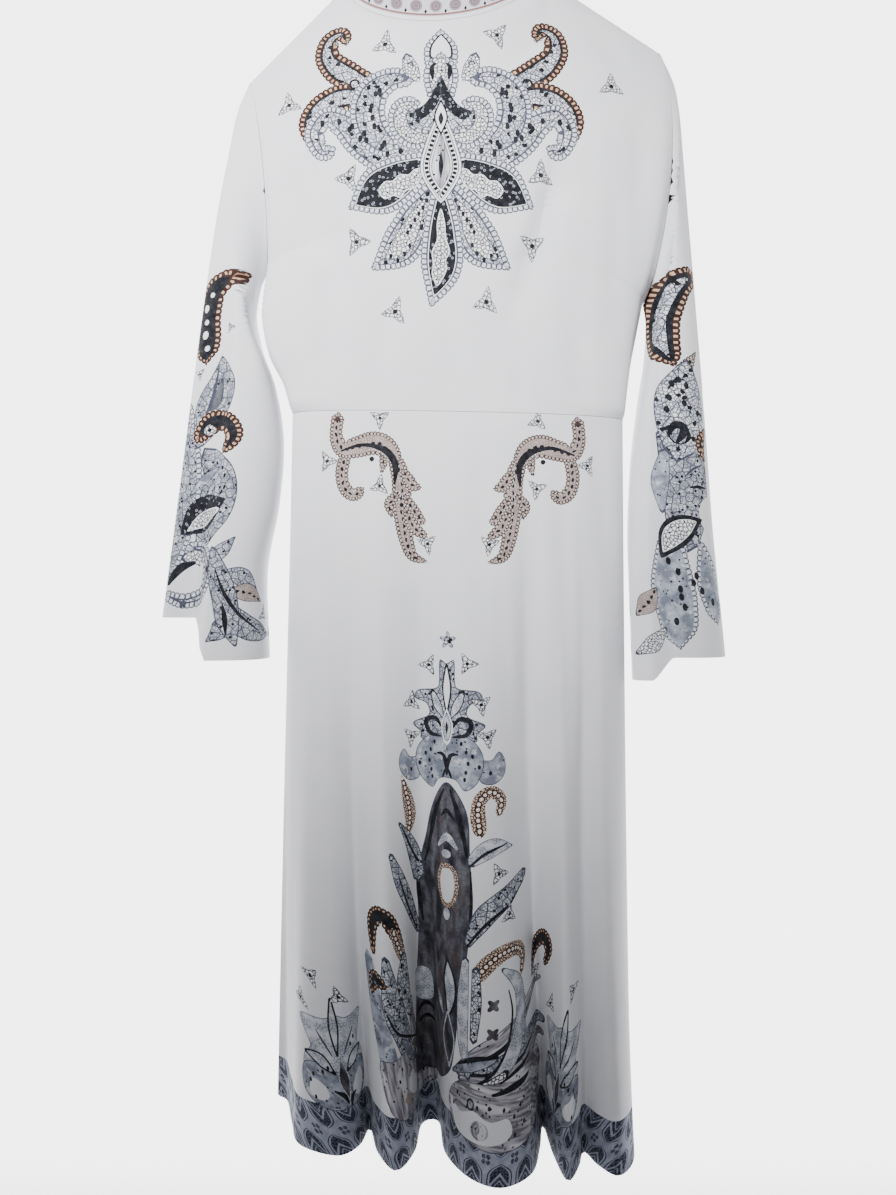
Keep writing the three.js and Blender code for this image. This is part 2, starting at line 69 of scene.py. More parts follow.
class Side(Enum):
    """The half of the garment that a panel is on; its value is the panel's direction along Y."""

    FRONT = -1
    BACK = 1


class Hand(Enum):
    """The side of the garment, seen from the front; its value is the direction along X."""

    LEFT = -1
    RIGHT = 1


def by_side(front: Any, back: Any) -> Any:
    """A field with one value for the front and one for the back."""
    return field(default_factory=lambda: {Side.FRONT: front, Side.BACK: back})


def by_hand(left: Any, right: Any) -> Any:
    """A field with one value for the left side and one for the right."""
    return field(default_factory=lambda: {Hand.LEFT: left, Hand.RIGHT: right})


class Ink(Enum):
    """What a face of the cloth is printed with."""

    PLAIN = "plain jersey"
    PALE_TEETH = "pale scalloped margin"
    BROWN_TEETH = "brown and cream scalloped margin"
    TAUPE_TEETH = "taupe scalloped margin"
    DASHES = "ring of black dashes"
    DENSE = "dense grey lace"
    LINE = "thin grey line"
    BLACK = "near-black"
    BAND = "black with small grey rings"
    LACE = "blue-grey lace"
    FINE_LACE = "white lace with grey cells"
    TAUPE = "taupe scales"
    WASH = "blue-grey wash"
    MIST = "pale grey with fine cells"
    FAN = "grey streaks along a leaf"
    CHAIN = "brown net round a chain of pale cells"
    SMOKE = "dark streaked column"
    HEM = "hem border"
    COLLAR = "collar band"


def linear(red: float, green: float, blue: float) -> Colour:
    """A colour given as it looks on a screen, 0 to 255, as the renderer's linear values."""
    def channel(value: float) -> float:
        """One of its three values."""
        value /= 255
        return value / 12.92 if value <= 0.04045 else ((value + 0.055) / 1.055) ** 2.4
    return channel(red), channel(green), channel(blue)


def share(value: Array, low: float, high: float) -> Array:
    """How far value has come from low to high, from 0 to 1."""
    return np.clip((value - low) / (high - low), 0, 1)


def ease(value: Array, low: float, high: float) -> Array:
    """The same share, leaving and arriving smoothly."""
    part = share(value, low, high)
    return part * part * (3 - 2 * part)


def between(first: Array, second: Array, part: Array) -> Array:
    """The value a part of the way from first to second."""
    return first + (second - first) * part


def power(value: Array, exponent: Array) -> Array:
    """A power that keeps the value's sign."""
    return np.sign(value) * np.abs(value) ** exponent


def read(table: tuple, at: Array) -> Array:
    """Reads a table between its rows along a smooth curve.

    Args:
        table: Rows that begin with the place they belong to.
        at: The places to read.

    Returns:
        One row of values for each place.
    """
    rows = np.array(table, float)
    places, values = rows[:, 0], rows[:, 1:]
    last = len(places) - 1
    before = np.maximum(np.arange(last + 1) - 1, 0)
    after = np.minimum(np.arange(last + 1) + 1, last)
    slopes = (values[after] - values[before]) / (places[after] - places[before])[:, None]
    at = np.atleast_1d(at)
    i = np.searchsorted(places[1:-1], at)
    span = places[i + 1] - places[i]
    t = np.clip((at - places[i]) / span, 0, 1)[:, None]
    span = span[:, None]
    return (
        (2 * t**3 - 3 * t**2 + 1) * values[i]
        + (t**3 - 2 * t**2 + t) * span * slopes[i]
        + (3 * t**2 - 2 * t**3) * values[i + 1]
        + (t**3 - t**2) * span * slopes[i + 1]
    )


def lengths_along(line: Array) -> Array:
    """The distance of each point of a line from its start, measured along it."""
    steps = np.linalg.norm(np.diff(line, axis=0), axis=1)
    return np.concatenate([[0], np.cumsum(steps)])


def points_along(line: Array, parts: Array) -> Array:
    """The points at these shares of a line's length."""
    lengths = lengths_along(line)
    wanted = parts * lengths[-1]
    return np.column_stack([np.interp(wanted, lengths, line[:, i]) for i in range(line.shape[1])])


def curve_through(knots: Array, closed: bool = False, steps: int = 24) -> Array:
    """A smooth curve through points, with this many steps between one and the next.

    Args:
        knots: The points.
        closed: Whether the curve goes on from the last point to the first.
        steps: Steps from one point to the next.

    Returns:
        The curve's points. A closed curve ends where it started.
    """
    count = len(knots)
    spans = count if closed else count - 1
    t = np.arange(spans * steps + 1) / steps
    i = np.minimum(t.astype(int), spans - 1)
    t = (t - i)[:, None]
    if closed:
        p0, p1, p2, p3 = (knots[(i + k) % count] for k in (-1, 0, 1, 2))
    else:
        p0, p1, p2, p3 = (knots[np.clip(i + k, 0, count - 1)] for k in (-1, 0, 1, 2))
    return (
        (2 * t**3 - 3 * t**2 + 1) * p1
        + (t**3 - 2 * t**2 + t) * (p2 - p0) / 2
        + (3 * t**2 - 2 * t**3) * p2
        + (t**3 - t**2) * (p3 - p1) / 2
    )


def half_oval(left: float, right: float, depth: float, square: float, side: Side) -> Array:
    """Half an oval seen from above, from its left end to its right one."""
    turn = np.linspace(math.pi, 0, 721)
    across = power(np.cos(turn), 2 / square)
    out = np.abs(np.sin(turn)) ** (2 / square)
    return np.column_stack([(left + right) / 2 + (right - left) / 2 * across, side.value * depth * out])


def guide_places(spots: Array, guide: Array) -> tuple[Array, Array]:
    """Where spots lie beside a line.

    Args:
        spots: Points of the plane.
        guide: The line's points.

    Returns:
        How far along the line the nearest place is, and how far to its left the spot lies.
    """
    starts = guide[:-1]
    steps = np.diff(guide, axis=0)
    squares = np.maximum((steps**2).sum(1), 1e-9)
    lengths = lengths_along(guide)
    offsets = spots[:, None, :] - starts[None]
    t = np.clip((offsets * steps).sum(2) / squares, 0, 1)
    gaps = offsets - t[:, :, None] * steps
    distance = np.linalg.norm(gaps, axis=2)
    nearest = distance.argmin(1)
    row = np.arange(len(spots))
    t = t[row, nearest]
    step = steps[nearest]
    gap = gaps[row, nearest]
    along = lengths[nearest] + t * np.sqrt(squares[nearest])
    left = np.sign(step[:, 0] * gap[:, 1] - step[:, 1] * gap[:, 0])
    return along, left * distance[row, nearest]


class Value:
    """A socket of a material, which Python's operators add Math nodes to."""

    def __init__(self, tree: "Tree", socket: bpy.types.NodeSocket) -> None:
        """Keeps the socket and the tree it is in."""
        self.tree = tree
        self.socket = socket

    def _math(self, operation: str, *values: "Value | float") -> "Value":
        """One Math node on these values."""
        return self.tree.node("ShaderNodeMath", {"operation": operation}, dict(enumerate(values)))

    def __add__(self, other: "Value | float") -> "Value":
        """The sum."""
        return self._math("ADD", self, other)

    def __radd__(self, other: float) -> "Value":
        """The sum, with a number first."""
        return self._math("ADD", other, self)

    def __sub__(self, other: "Value | float") -> "Value":
        """The difference."""
        return self._math("SUBTRACT", self, other)

    def __rsub__(self, other: float) -> "Value":
        """The difference, with a number first."""
        return self._math("SUBTRACT", other, self)

    def __mul__(self, other: "Value | float") -> "Value":
        """The product."""
        return self._math("MULTIPLY", self, other)

    def __rmul__(self, other: float) -> "Value":
        """The product, with a number first."""
        return self._math("MULTIPLY", other, self)

    def __truediv__(self, other: "Value | float") -> "Value":
        """The quotient."""
        return self._math("DIVIDE", self, other)

    def __pow__(self, other: float) -> "Value":
        """The power."""
        return self._math("POWER", self, other)

    def __abs__(self) -> "Value":
        """The value without its sign."""
        return self._math("ABSOLUTE", self)

    def wave(self, length: float) -> "Value":
        """A sine wave of this length, from -1 to 1."""
        return self._math("SINE", self * (2 * math.pi / length))

    def folded(self, length: float) -> "Value":
        """The distance to the middle of the repeat that the value is in, with its sign."""
        return (self._math("FRACT", self / length) - 0.5) * length

    def larger(self, other: "Value | float") -> "Value":
        """The larger of two values."""
        return self._math("MAXIMUM", self, other)

    def smaller(self, other: "Value | float") -> "Value":
        """The smaller of two values."""
        return self._math("MINIMUM", self, other)

    def over(self, limit: float, blur: float) -> "Value":
        """A mask, 1 where the value is above the limit and 0 below it."""
        return self.tree.node(
            "ShaderNodeMapRange",
            {"interpolation_type": "SMOOTHSTEP"},
            {0: self, 1: limit - blur / 2, 2: limit + blur / 2},
        )

    def under(self, limit: float, blur: float) -> "Value":
        """A mask, 1 where the value is below the limit and 0 above it."""
        return 1 - self.over(limit, blur)


class Tree:
    """A material's nodes."""

    def __init__(self, name: str) -> None:
        """Makes a material with no nodes but its output."""
        self.material = bpy.data.materials.new(name)
        self.material.use_nodes = True
        self.nodes = self.material.node_tree.nodes
        self.nodes.clear()

    def node(
        self, kind: str, settings: dict | None = None, inputs: dict | None = None, output: int = 0,
    ) -> Value:
        """Adds a node.

        Args:
            kind: The node's type.
            settings: Its own settings, which are set first.
            inputs: Values or links for its sockets, by name or number.
            output: Which output is wanted.

        Returns:
            That output.
        """
        made = self.nodes.new(kind)
        for name, setting in (settings or {}).items():
            setattr(made, name, setting)
        for name, value in (inputs or {}).items():
            if isinstance(value, Value):
                self.material.node_tree.links.new(value.socket, made.inputs[name])
            else:
                made.inputs[name].default_value = value
        return Value(self, made.outputs[output] if made.outputs else None)

    def mix(self, factor: Value, first: Value | Colour, second: Value | Colour) -> Value:
        """The first colour where the factor is 0 and the second where it is 1."""
        colours = {
            key: colour if isinstance(colour, Value) else (*colour, 1)
            for key, colour in ((6, first), (7, second))
        }
        return self.node("ShaderNodeMix", {"data_type": "RGBA"}, {0: factor, **colours}, 2)

    def layer(self, name: str) -> Value:
        """A UV layer as a vector."""
        return self.node("ShaderNodeUVMap", {"uv_map": name})

    def places(self, name: str) -> tuple[Value, Value, Value]:
        """A UV layer as a vector, and its two values in millimetres."""
        vector = self.layer(name)
        apart = {i: self.node("ShaderNodeSeparateXYZ", {}, {0: vector}, i) for i in (0, 1)}
        return vector, apart[0] * (1 / MM), apart[1] * (1 / MM)

    def noise(self, vector: Value, grain: float, detail: float = 2, dimensions: str = "2D") -> Value:
        """Smooth noise whose grains are this many millimetres across."""
        return self.node(
            "ShaderNodeTexNoise",
            {"noise_dimensions": dimensions},
            {"Vector": vector, "Scale": 1 / (grain * MM), "Detail": detail},
        )

    def cells(self, vector: Value, size: float, feature: str = "DISTANCE_TO_EDGE") -> Value:
        """Voronoi cells this many millimetres across; the distance is a share of their size."""
        return self.node(
            "ShaderNodeTexVoronoi",
            {"voronoi_dimensions": "2D", "feature": feature},
            {"Vector": vector, "Scale": 1 / (size * MM)},
        )

    def stretched(self, vector: Value, across: float, down: float) -> Value:
        """A vector scaled by different amounts across and down."""
        return self.node(
            "ShaderNodeVectorMath", {"operation": "MULTIPLY"}, {0: vector, 1: (across, down, 1)}
        )

    def surface(self, sockets: dict) -> bpy.types.Material:
        """Ends the tree in a Principled BSDF with these sockets.

        Args:
            sockets: Values or links, by the sockets' names.

        Returns:
            The material.
        """
        shader = self.node("ShaderNodeBsdfPrincipled", {}, sockets)
        self.node("ShaderNodeOutputMaterial", {}, {"Surface": shader})
        return self.material


@dataclass(frozen=True)
class Jersey:
    """The knitted cloth under every ink, and the inks' colours."""

    white: Colour = linear(233, 233, 236)
    shade: Colour = linear(222, 223, 229)
    near_black: Colour = linear(8, 9, 18)
    line: Colour = linear(52, 54, 68)
    pale_line: Colour = linear(70, 73, 90)
    blue_grey: Colour = linear(170, 176, 190)
    deep_blue_grey: Colour = linear(112, 119, 134)
    brown: Colour = linear(50, 24, 16)
    cream: Colour = linear(214, 176, 146)
    taupe: Colour = linear(146, 130, 122)
    dark_taupe: Colour = linear(60, 42, 42)
    smoke: Colour = linear(48, 47, 56)
    hem_ground: Colour = linear(124, 130, 150)
    hem_navy: Colour = linear(18, 22, 48)
    hem_pale: Colour = linear(182, 187, 204)
    wale: float = 1.1  # one stitch of the knit, mm
    roughness: float = 0.82

    def material(self, ink: Ink) -> bpy.types.Material:
        """The knit printed with one ink."""
        tree = Tree(f"jersey_{ink.name.lower()}")
        vector, across, down = tree.places("cloth")
        paint: Callable[[Tree], Value] = getattr(self, f"_{ink.name.lower()}")
        stitches = across.wave(self.wale) * down.wave(self.wale * 1.3)
        slub = tree.noise(vector, 7, 3)
        height = stitches * 0.35 + slub
        fibre = tree.noise(vector, 0.7, 1)
        thin = (fibre + slub - 0.8).larger(0) * 0.06
        worn = tree.mix(thin, paint(tree), self.shade)
        normal = tree.node("ShaderNodeBump", {}, {"Strength": 0.25, "Distance": 0.0004, "Height": height})
        return tree.surface({
            "Base Color": worn,
            "Roughness": self.roughness + (slub - 0.5) * 0.12,
            "Sheen Weight": 0.06,
            "Sheen Roughness": 0.5,
            "Specular IOR Level": 0.15,
            "Normal": normal,
        })

    def _plain(self, tree: Tree) -> Value:
        """White, very slightly uneven."""
        vector = tree.layer("cloth")
        return tree.mix(tree.noise(vector, 60, 2), self.white, self.shade)

    def _teeth(
        self, tree: Tree, ground: Colour, tooth: Colour, step: float, width: float, gap: float,
    ) -> Value:
        """Rounded teeth in a row along the guide, with this much darker ground between them."""
        _, along, across = tree.places("print")
        vector = tree.layer("cloth")
        wobble = (tree.noise(vector, 6, 1) - 0.5) * 1.8
        offset = abs((along + wobble).folded(step))
        scallop = (offset * (2 / step)) ** 4 * 1.3
        depth = abs(across) - scallop
        sides = offset.under((step - gap) / 2, 0.5)
        inside = sides * depth.over(0.5 + gap * 0.5, 0.5) * abs(across).under(width - gap * 0.5, 0.6)
        hatch = tree.noise(vector, 1.6, 2).over(0.54, 0.16) * inside * 0.4
        painted = tree.mix(inside, ground, tooth)
        return tree.mix(depth.under(0.05, 0.3), tree.mix(hatch, painted, ground), self.white)

    def _pale_teeth(self, tree: Tree) -> Value:
        """A margin of pale cells drawn in grey."""
        return self._teeth(tree, self.pale_line, linear(220, 222, 230), 5.4, 6.4, 1.8)

    def _brown_teeth(self, tree: Tree) -> Value:
        """A margin of cream cells on brown."""
        return self._teeth(tree, self.brown, self.cream, 5.8, 7.2, 3.4)

    def _taupe_teeth(self, tree: Tree) -> Value:
        """A margin of pale taupe cells on brown."""
        return self._teeth(tree, self.dark_taupe, linear(198, 182, 172), 4, 4.4, 1.8)

    def _dashes(self, tree: Tree) -> Value:
        """Black dashes across a white ring."""
        _, along, across = tree.places("print")
        depth = abs(across)
        dash = abs(along.folded(4.8)).under(1.6, 0.4) * depth.over(0.7, 0.4) * depth.under(4.6, 0.4)
        return tree.mix(dash, self.white, self.near_black)

    def _line(self, tree: Tree) -> Value:
        """A grey line that breaks a little."""
        vector = tree.layer("cloth")
        return tree.mix(tree.noise(vector, 3, 2), self.line, self.pale_line)

    def _black(self, tree: Tree) -> Value:
        """Near-black ink, a little thin in places."""
        vector = tree.layer("cloth")
        return tree.mix(tree.noise(vector, 4, 3).over(0.66, 0.3) * 0.5, self.near_black, self.line)

    def _band(self, tree: Tree) -> Value:
        """Black with small grey rings."""
        vector = tree.layer("cloth")
        rings = abs(tree.cells(vector, 4.8, "F1") - 0.2).under(0.06, 0.06)
        chosen = tree.noise(vector, 6, 0).over(0.5, 0.05)
        return tree.mix(rings * chosen * 0.8, self.near_black, self.blue_grey)

    def _lace(self, tree: Tree) -> Value:
        """Blue-grey lace of drawn cells, with ink blots."""
        vector = tree.layer("cloth")
        ground = tree.mix(tree.noise(vector, 16, 2).over(0.42, 0.4), self.white, linear(192, 197, 208))
        net = tree.cells(vector, 3.6).under(0.1, 0.1)
        coarse = tree.cells(vector, 9).under(0.05, 0.04)
        drawn = tree.mix((net * 0.95).larger(coarse), ground, self.line)
        bent = tree.node(
            "ShaderNodeVectorMath", {"operation": "ADD"},
            {0: vector, 1: tree.stretched(tree.noise(vector, 4, 1), 0.004, 0.004)},
        )
        blots = tree.cells(bent, 9.5, "F1").under(0.26, 0.06)
        chosen = tree.noise(vector, 17, 0).over(0.47, 0.02)
        return tree.mix(blots * chosen, drawn, self.near_black)

    def _dense(self, tree: Tree) -> Value:
        """Grey lace, darker in clouds, with small blots."""
        vector = tree.layer("cloth")
        cloud = tree.noise(vector, 10, 3).over(0.5, 0.3)
        ground = tree.mix(cloud, linear(146, 151, 165), linear(204, 207, 216))
        net = tree.cells(vector, 3).under(0.12, 0.12)
        coarse = tree.cells(vector, 7.5).under(0.06, 0.05)
        blots = tree.cells(vector, 7, "F1").under(0.2, 0.06) * tree.noise(vector, 13, 0).over(0.5, 0.03)
        drawn = tree.mix((net * 0.7).larger(coarse), ground, self.line)
        return tree.mix(blots, drawn, self.near_black)

    def _fine_lace(self, tree: Tree) -> Value:
        """White lace with thin grey cells."""
        vector = tree.layer("cloth")
        net = tree.cells(vector, 3.6).under(0.15, 0.12)
        dots = tree.cells(vector, 6.5, "F1").under(0.12, 0.05)
        return tree.mix(dots, tree.mix(net * 0.9, self.white, self.line), self.near_black)

    def _taupe(self, tree: Tree) -> Value:
        """Taupe scales with dark hearts."""
        vector = tree.layer("cloth")
        _, along, across = tree.places("print")
        net = tree.cells(vector, 2.6).under(0.07, 0.07)
        ground = tree.mix(tree.noise(vector, 9, 2), self.taupe, linear(190, 176, 174))
        shift = across * 1.2 + tree.noise(vector, 5, 0) * 3 - 1.5
        bead = ((along.folded(7) * 0.7) ** 2 + shift**2).under(2.6, 2)
        return tree.mix(bead, tree.mix(net * 0.8, ground, self.dark_taupe), self.near_black)

    def _wash(self, tree: Tree) -> Value:
        """A wash of blue-grey with paler clouds and a few dots."""
        vector = tree.layer("cloth")
        cloud = tree.noise(vector, 14, 3).over(0.52, 0.35)
        pale = tree.noise(vector, 9, 2).over(0.66, 0.12)
        ground = tree.mix(pale * 0.5, tree.mix(cloud, self.deep_blue_grey, self.blue_grey), self.white)
        net = tree.cells(vector, 4.2).under(0.045, 0.05)
        dots = tree.cells(vector, 8, "F1").under(0.12, 0.05) * tree.noise(vector, 18, 0).over(0.52, 0.02)
        return tree.mix(dots, tree.mix(net * 0.35, ground, self.line), self.near_black)

    def _mist(self, tree: Tree) -> Value:
        """Pale grey with fine cells, denser in clouds."""
        vector = tree.layer("cloth")
        cloud = tree.noise(vector, 12, 2)
        ground = tree.mix(cloud.over(0.5, 0.4), linear(174, 179, 191), linear(208, 210, 218))
        net = tree.cells(vector, 2.8).under(0.09, 0.1) * cloud.under(0.56, 0.3)
        return tree.mix(net * 0.8, ground, self.line)

    def _fan(self, tree: Tree) -> Value:
        """Grey and taupe streaks that run along the leaf."""
        vector = tree.layer("cloth")
        guide = tree.layer("print")
        fine = tree.noise(tree.stretched(guide, 0.1, 1), 3, 3)
        broad = tree.noise(tree.stretched(guide, 0.25, 1), 12, 2)
        ground = tree.mix(fine.over(0.5, 0.3), linear(106, 104, 112), linear(174, 172, 180))
        cloudy = tree.mix(broad.over(0.56, 0.14) * 0.8, ground, linear(222, 222, 226))
        dots = tree.cells(vector, 7, "F1").under(0.15, 0.05) * tree.noise(vector, 15, 0).over(0.5, 0.05)
        return tree.mix(dots, cloudy, self.near_black)

    def _chain(self, tree: Tree) -> Value:
        """A brown net, and a row of pale cells ringed in brown along its middle."""
        vector = tree.layer("cloth")
        _, along, across = tree.places("print")
        cell = (abs(along.folded(5.2)) / 1.9) ** 2 + (abs(across) / 1.7) ** 2
        net = tree.cells(vector, 2.7).under(0.17, 0.1)
        ground = tree.mix(net, linear(214, 190, 172), self.brown)
        ringed = tree.mix(cell.under(3.2, 0.8), ground, self.brown)
        return tree.mix(cell.under(1, 0.4), ringed, linear(232, 220, 212))

    def _smoke(self, tree: Tree) -> Value:
        """Dark grey drawn downwards in streaks, with brown clouds."""
        vector = tree.layer("cloth")
        streaks = tree.noise(tree.stretched(vector, 1, 0.4), 9, 4).over(0.5, 0.4)
        cloud = tree.noise(tree.stretched(vector, 1, 0.7), 24, 4)
        net = tree.cells(vector, 5).under(0.06, 0.06) * 0.4
        ground = tree.mix(streaks, self.smoke, linear(104, 105, 114))
        warm = tree.mix(cloud.over(0.62, 0.2) * 0.4, ground, linear(96, 80, 74))
        return tree.mix((cloud.under(0.44, 0.2) * 0.8).larger(net), warm, self.near_black)

    def _hem(self, tree: Tree) -> Value:
        """Pointed ovals with chevrons in them, above and below a row of small crosses."""
        vector, along, up = tree.places("cloth")
        tile = 29.0
        middle = 23.0  # the height of the row of crosses
        row_half = 2.5
        oval_height = 13.0
        oval_half = 12.3
        slope = 1.15  # of the chevrons' arms
        wobble = (tree.noise(vector, 9, 1) - 0.5) * 1.2
        x = abs((along + wobble).folded(tile))
        y = abs(up - middle)
        reach = (y - row_half) / oval_height
        edge = oval_half * (1 - (1 - reach.smaller(1)) ** 2.4)
        inside = y.over(row_half, 0.3) * (edge - x).over(0, 0.5)
        rim = inside * (edge - x).under(1.0, 0.4)
        halo = inside * abs((edge - x) - 2.2).under(0.9, 0.4)
        chevron = inside * abs(y - x * slope - 11.5).under(1.4, 0.5)
        small = inside * abs(y - x * slope - 17).under(0.6, 0.5)
        mottled = tree.cells(vector, 3).under(0.09, 0.08) * 0.35
        pale = halo.larger(chevron).larger(small).larger(mottled * inside)
        side = abs((along + wobble + tile / 2).folded(tile))
        petals = (abs(side - 2.4) ** 2 + abs(y - 2.4) ** 2).under(4.4, 1.6)
        cross = petals * tree.cells(vector, 2).over(0.05, 0.05)
        ground = tree.mix(tree.noise(vector, 7, 2), self.hem_ground, self.hem_pale)
        navy = tree.mix((inside * (1 - pale)).larger(rim).larger(cross), ground, self.hem_navy)
        return tree.mix(tree.cells(vector, 1.7).under(0.05, 0.05) * 0.3, navy, self.hem_navy)

    def _collar(self, tree: Tree) -> Value:
        """A brown-red line along the foot, arrowheads over it and round motifs above them."""
        vector, along, up = tree.places("cloth")
        tile = 21.0
        foot_height = 1.4
        arrow_height = 4.6
        disc_height = 10.5
        top_height = 19.0
        foot = abs(up - foot_height).under(0.9, 0.5)
        arrow = (abs(along.folded(tile)) * 1.6 + abs(up - arrow_height)).under(2.6, 0.5)
        side = abs((along + tile / 2).folded(tile))
        radius = (side**2 + (up - disc_height) ** 2) ** 0.5
        disc = radius.under(6.4, 0.5)
        rings = abs(radius.folded(2.6)).under(0.55, 0.4)
        net = tree.cells(vector, 2.4).under(0.06, 0.06)
        ground = tree.mix(net * 0.5, linear(214, 214, 222), self.line)
        round_part = tree.mix(rings * 0.8, linear(150, 132, 142), linear(84, 70, 82))
        drawn = tree.mix(disc, ground, round_part)
        top = abs(up - top_height).under(1.2, 0.6)
        return tree.mix(arrow, tree.mix(foot.larger(top), drawn, linear(134, 84, 78)), self.near_black)


@dataclass(frozen=True)
class Wood:
    """Pale lacquered wood, its grain along the hanger's arms."""

    early: Colour = linear(196, 160, 116)
    late: Colour = linear(158, 118, 78)

    def material(self) -> bpy.types.Material:
        """The wood's material."""
        tree = Tree("hanger_wood")
        place = tree.node("ShaderNodeTexCoord", {}, {}, 3)
        stretched = tree.stretched(place, 0.12, 1)
        rings = tree.noise(stretched, 5, 3, "3D")
        pores = tree.noise(stretched, 1.2, 2, "3D")
        colour = tree.mix(rings.over(0.5, 0.3), self.early, self.late)
        height = rings + pores
        normal = tree.node("ShaderNodeBump", {}, {"Strength": 0.2, "Distance": 0.0004, "Height": height})
        return tree.surface({
            "Base Color": tree.mix(pores.over(0.6, 0.1) * 0.5, colour, self.late),
            "Roughness": 0.38 + pores * 0.12,
            "Coat Weight": 0.3,
            "Normal": normal,
        })


@dataclass(frozen=True)
class Wire:
    """Bright plated steel wire with fine drawing marks."""

    colour: Colour = linear(196, 198, 202)

    def material(self) -> bpy.types.Material:
        """The wire's material."""
        tree = Tree("hook_wire")
        place = tree.node("ShaderNodeTexCoord", {}, {}, 3)
        marks = tree.noise(place, 1.5, 3, "3D")
        dull = tree.mix(marks, self.colour, linear(170, 172, 178))
        return tree.surface({"Base Color": dull, "Metallic": 1.0, "Roughness": 0.16 + marks * 0.16})


@dataclass(frozen=True)
class Paper:
    """The matt paper of the studio, lit from within so that it throws little light back."""

    colour: Colour = linear(112, 112, 114)
    glow_behind: float = 4.5
    glow_before: float = 0.1

    def material(self) -> bpy.types.Material:
        """The paper's material, which glows as a lit background does, most of all behind the garment."""
        tree = Tree("studio_paper")
        place = tree.node("ShaderNodeTexCoord", {}, {}, 3)
        mottled = tree.noise(place, 300, 2, "3D")
        depth = tree.node("ShaderNodeSeparateXYZ", {}, {0: place}, 1)
        before = self.glow_before / self.glow_behind
        return tree.surface({
            "Base Color": tree.mix(mottled * 0.2, self.colour, linear(100, 100, 102)),
            "Roughness": 0.95,
            "Emission Color": tree.mix(depth.over(0.45, 0.7), (before, before, before), (1.0, 1.0, 1.0)),
            "Emission Strength": self.glow_behind,
        })


@dataclass(frozen=True)
class Region:
    """A printed patch of the flat cloth, with the line that its pattern follows."""

    outline: Array
    ink: Ink
    guide: Array

    def mirrored(self) -> "Region":
        """The same patch on the other side of the upright line through zero."""
        flip = np.array([-1, 1])
        return Region(self.outline[::-1] * flip, self.ink, self.guide * flip)


def both_sides(regions: list[Region]) -> list[Region]:
    """The patches and their mirror images, in the same order of layers."""
    return [turned for region in regions for turned in (region, region.mirrored())]


@dataclass(frozen=True)
class Frond:
    """A leaf, scroll or paisley: a curved spine with a width that changes along it."""

    spine: tuple[Spot, ...]
    widths: tuple[float, ...]  # half widths at even steps
    layers: tuple[tuple[float, Ink], ...]  # how far in each begins, outermost first
    round_end: bool = False

    def regions(self) -> list[Region]:
        """The frond's patches, from the outermost to the innermost."""
        curve = curve_through(np.array(self.spine, float))
        count = max(int(lengths_along(curve)[-1] / FROND_STEP), 8)
        line = points_along(curve, np.linspace(0, 1, count + 1))
        along = lengths_along(line)
        table = np.column_stack([np.linspace(0, 1, len(self.widths)), self.widths])
        half = np.maximum(read(table, along / along[-1])[:, 0], 0)
        if self.round_end:
            reach = max(self.widths[-1], 1)
            left = np.clip((along[-1] - along) / reach, 0, 1)
            half = half * np.sqrt(1 - (1 - left) ** 2)
        tangent = np.gradient(line, axis=0)
        tangent /= np.linalg.norm(tangent, axis=1)[:, None]
        sideways = np.column_stack([-tangent[:, 1], tangent[:, 0]])
        made = []
        for inset, ink in self.layers:
            is_wide = half - inset > LEAST_HALF
            kept = is_wide & (along >= inset) & (along[-1] - along >= inset * END_INSET)
            if kept.sum() < 3:
                continue
            first, last = np.flatnonzero(kept)[[0, -1]]
            picked = slice(first, last + 1)
            out = sideways[picked] * np.maximum(half[picked] - inset, DRAWN_HALF)[:, None]
            ends = []
            for end, i in ((0, first), (-1, last)):
                tip = (half[i] - inset) * (1 if end else -1)
                ends.append((line[i] + tangent[i] * tip * TIP_REACH)[None])
            outline = np.concatenate([ends[0], line[picked] - out, ends[1], (line[picked] + out)[::-1]])
            is_margin = ink in (Ink.PALE_TEETH, Ink.BROWN_TEETH, Ink.TAUPE_TEETH, Ink.DASHES)
            guide = np.concatenate([outline, outline[:1]]) if is_margin else line
            made.append(Region(outline, ink, guide))
        return made


@dataclass(frozen=True)
class Patch:
    """A motif drawn by its outline, or by the left half of it where it is symmetrical."""

    outline: tuple[Spot, ...]
    layers: tuple[tuple[float, Ink], ...]
    is_half: bool = False
    guide: tuple[Spot, ...] = ()
    steps: int = 5

    def regions(self) -> list[Region]:
        """The motif's patches, from the outermost to the innermost."""
        spots = np.array(self.outline, float)
        if self.is_half:
            spots = np.concatenate([spots, spots[:0:-1] * (-1, 1)])
        line = counter_clockwise(curve_through(spots, True, self.steps)[:-1])
        tangent = np.roll(line, -1, axis=0) - np.roll(line, 1, axis=0)
        tangent /= np.maximum(np.linalg.norm(tangent, axis=1), 1e-6)[:, None]
        inwards = np.column_stack([-tangent[:, 1], tangent[:, 0]])
        middle = line.mean(0)
        guide = np.array(self.guide, float) if self.guide else np.array([middle, middle + [0, -1]])
        return [Region(line + inwards * inset, ink, guide) for inset, ink in self.layers]


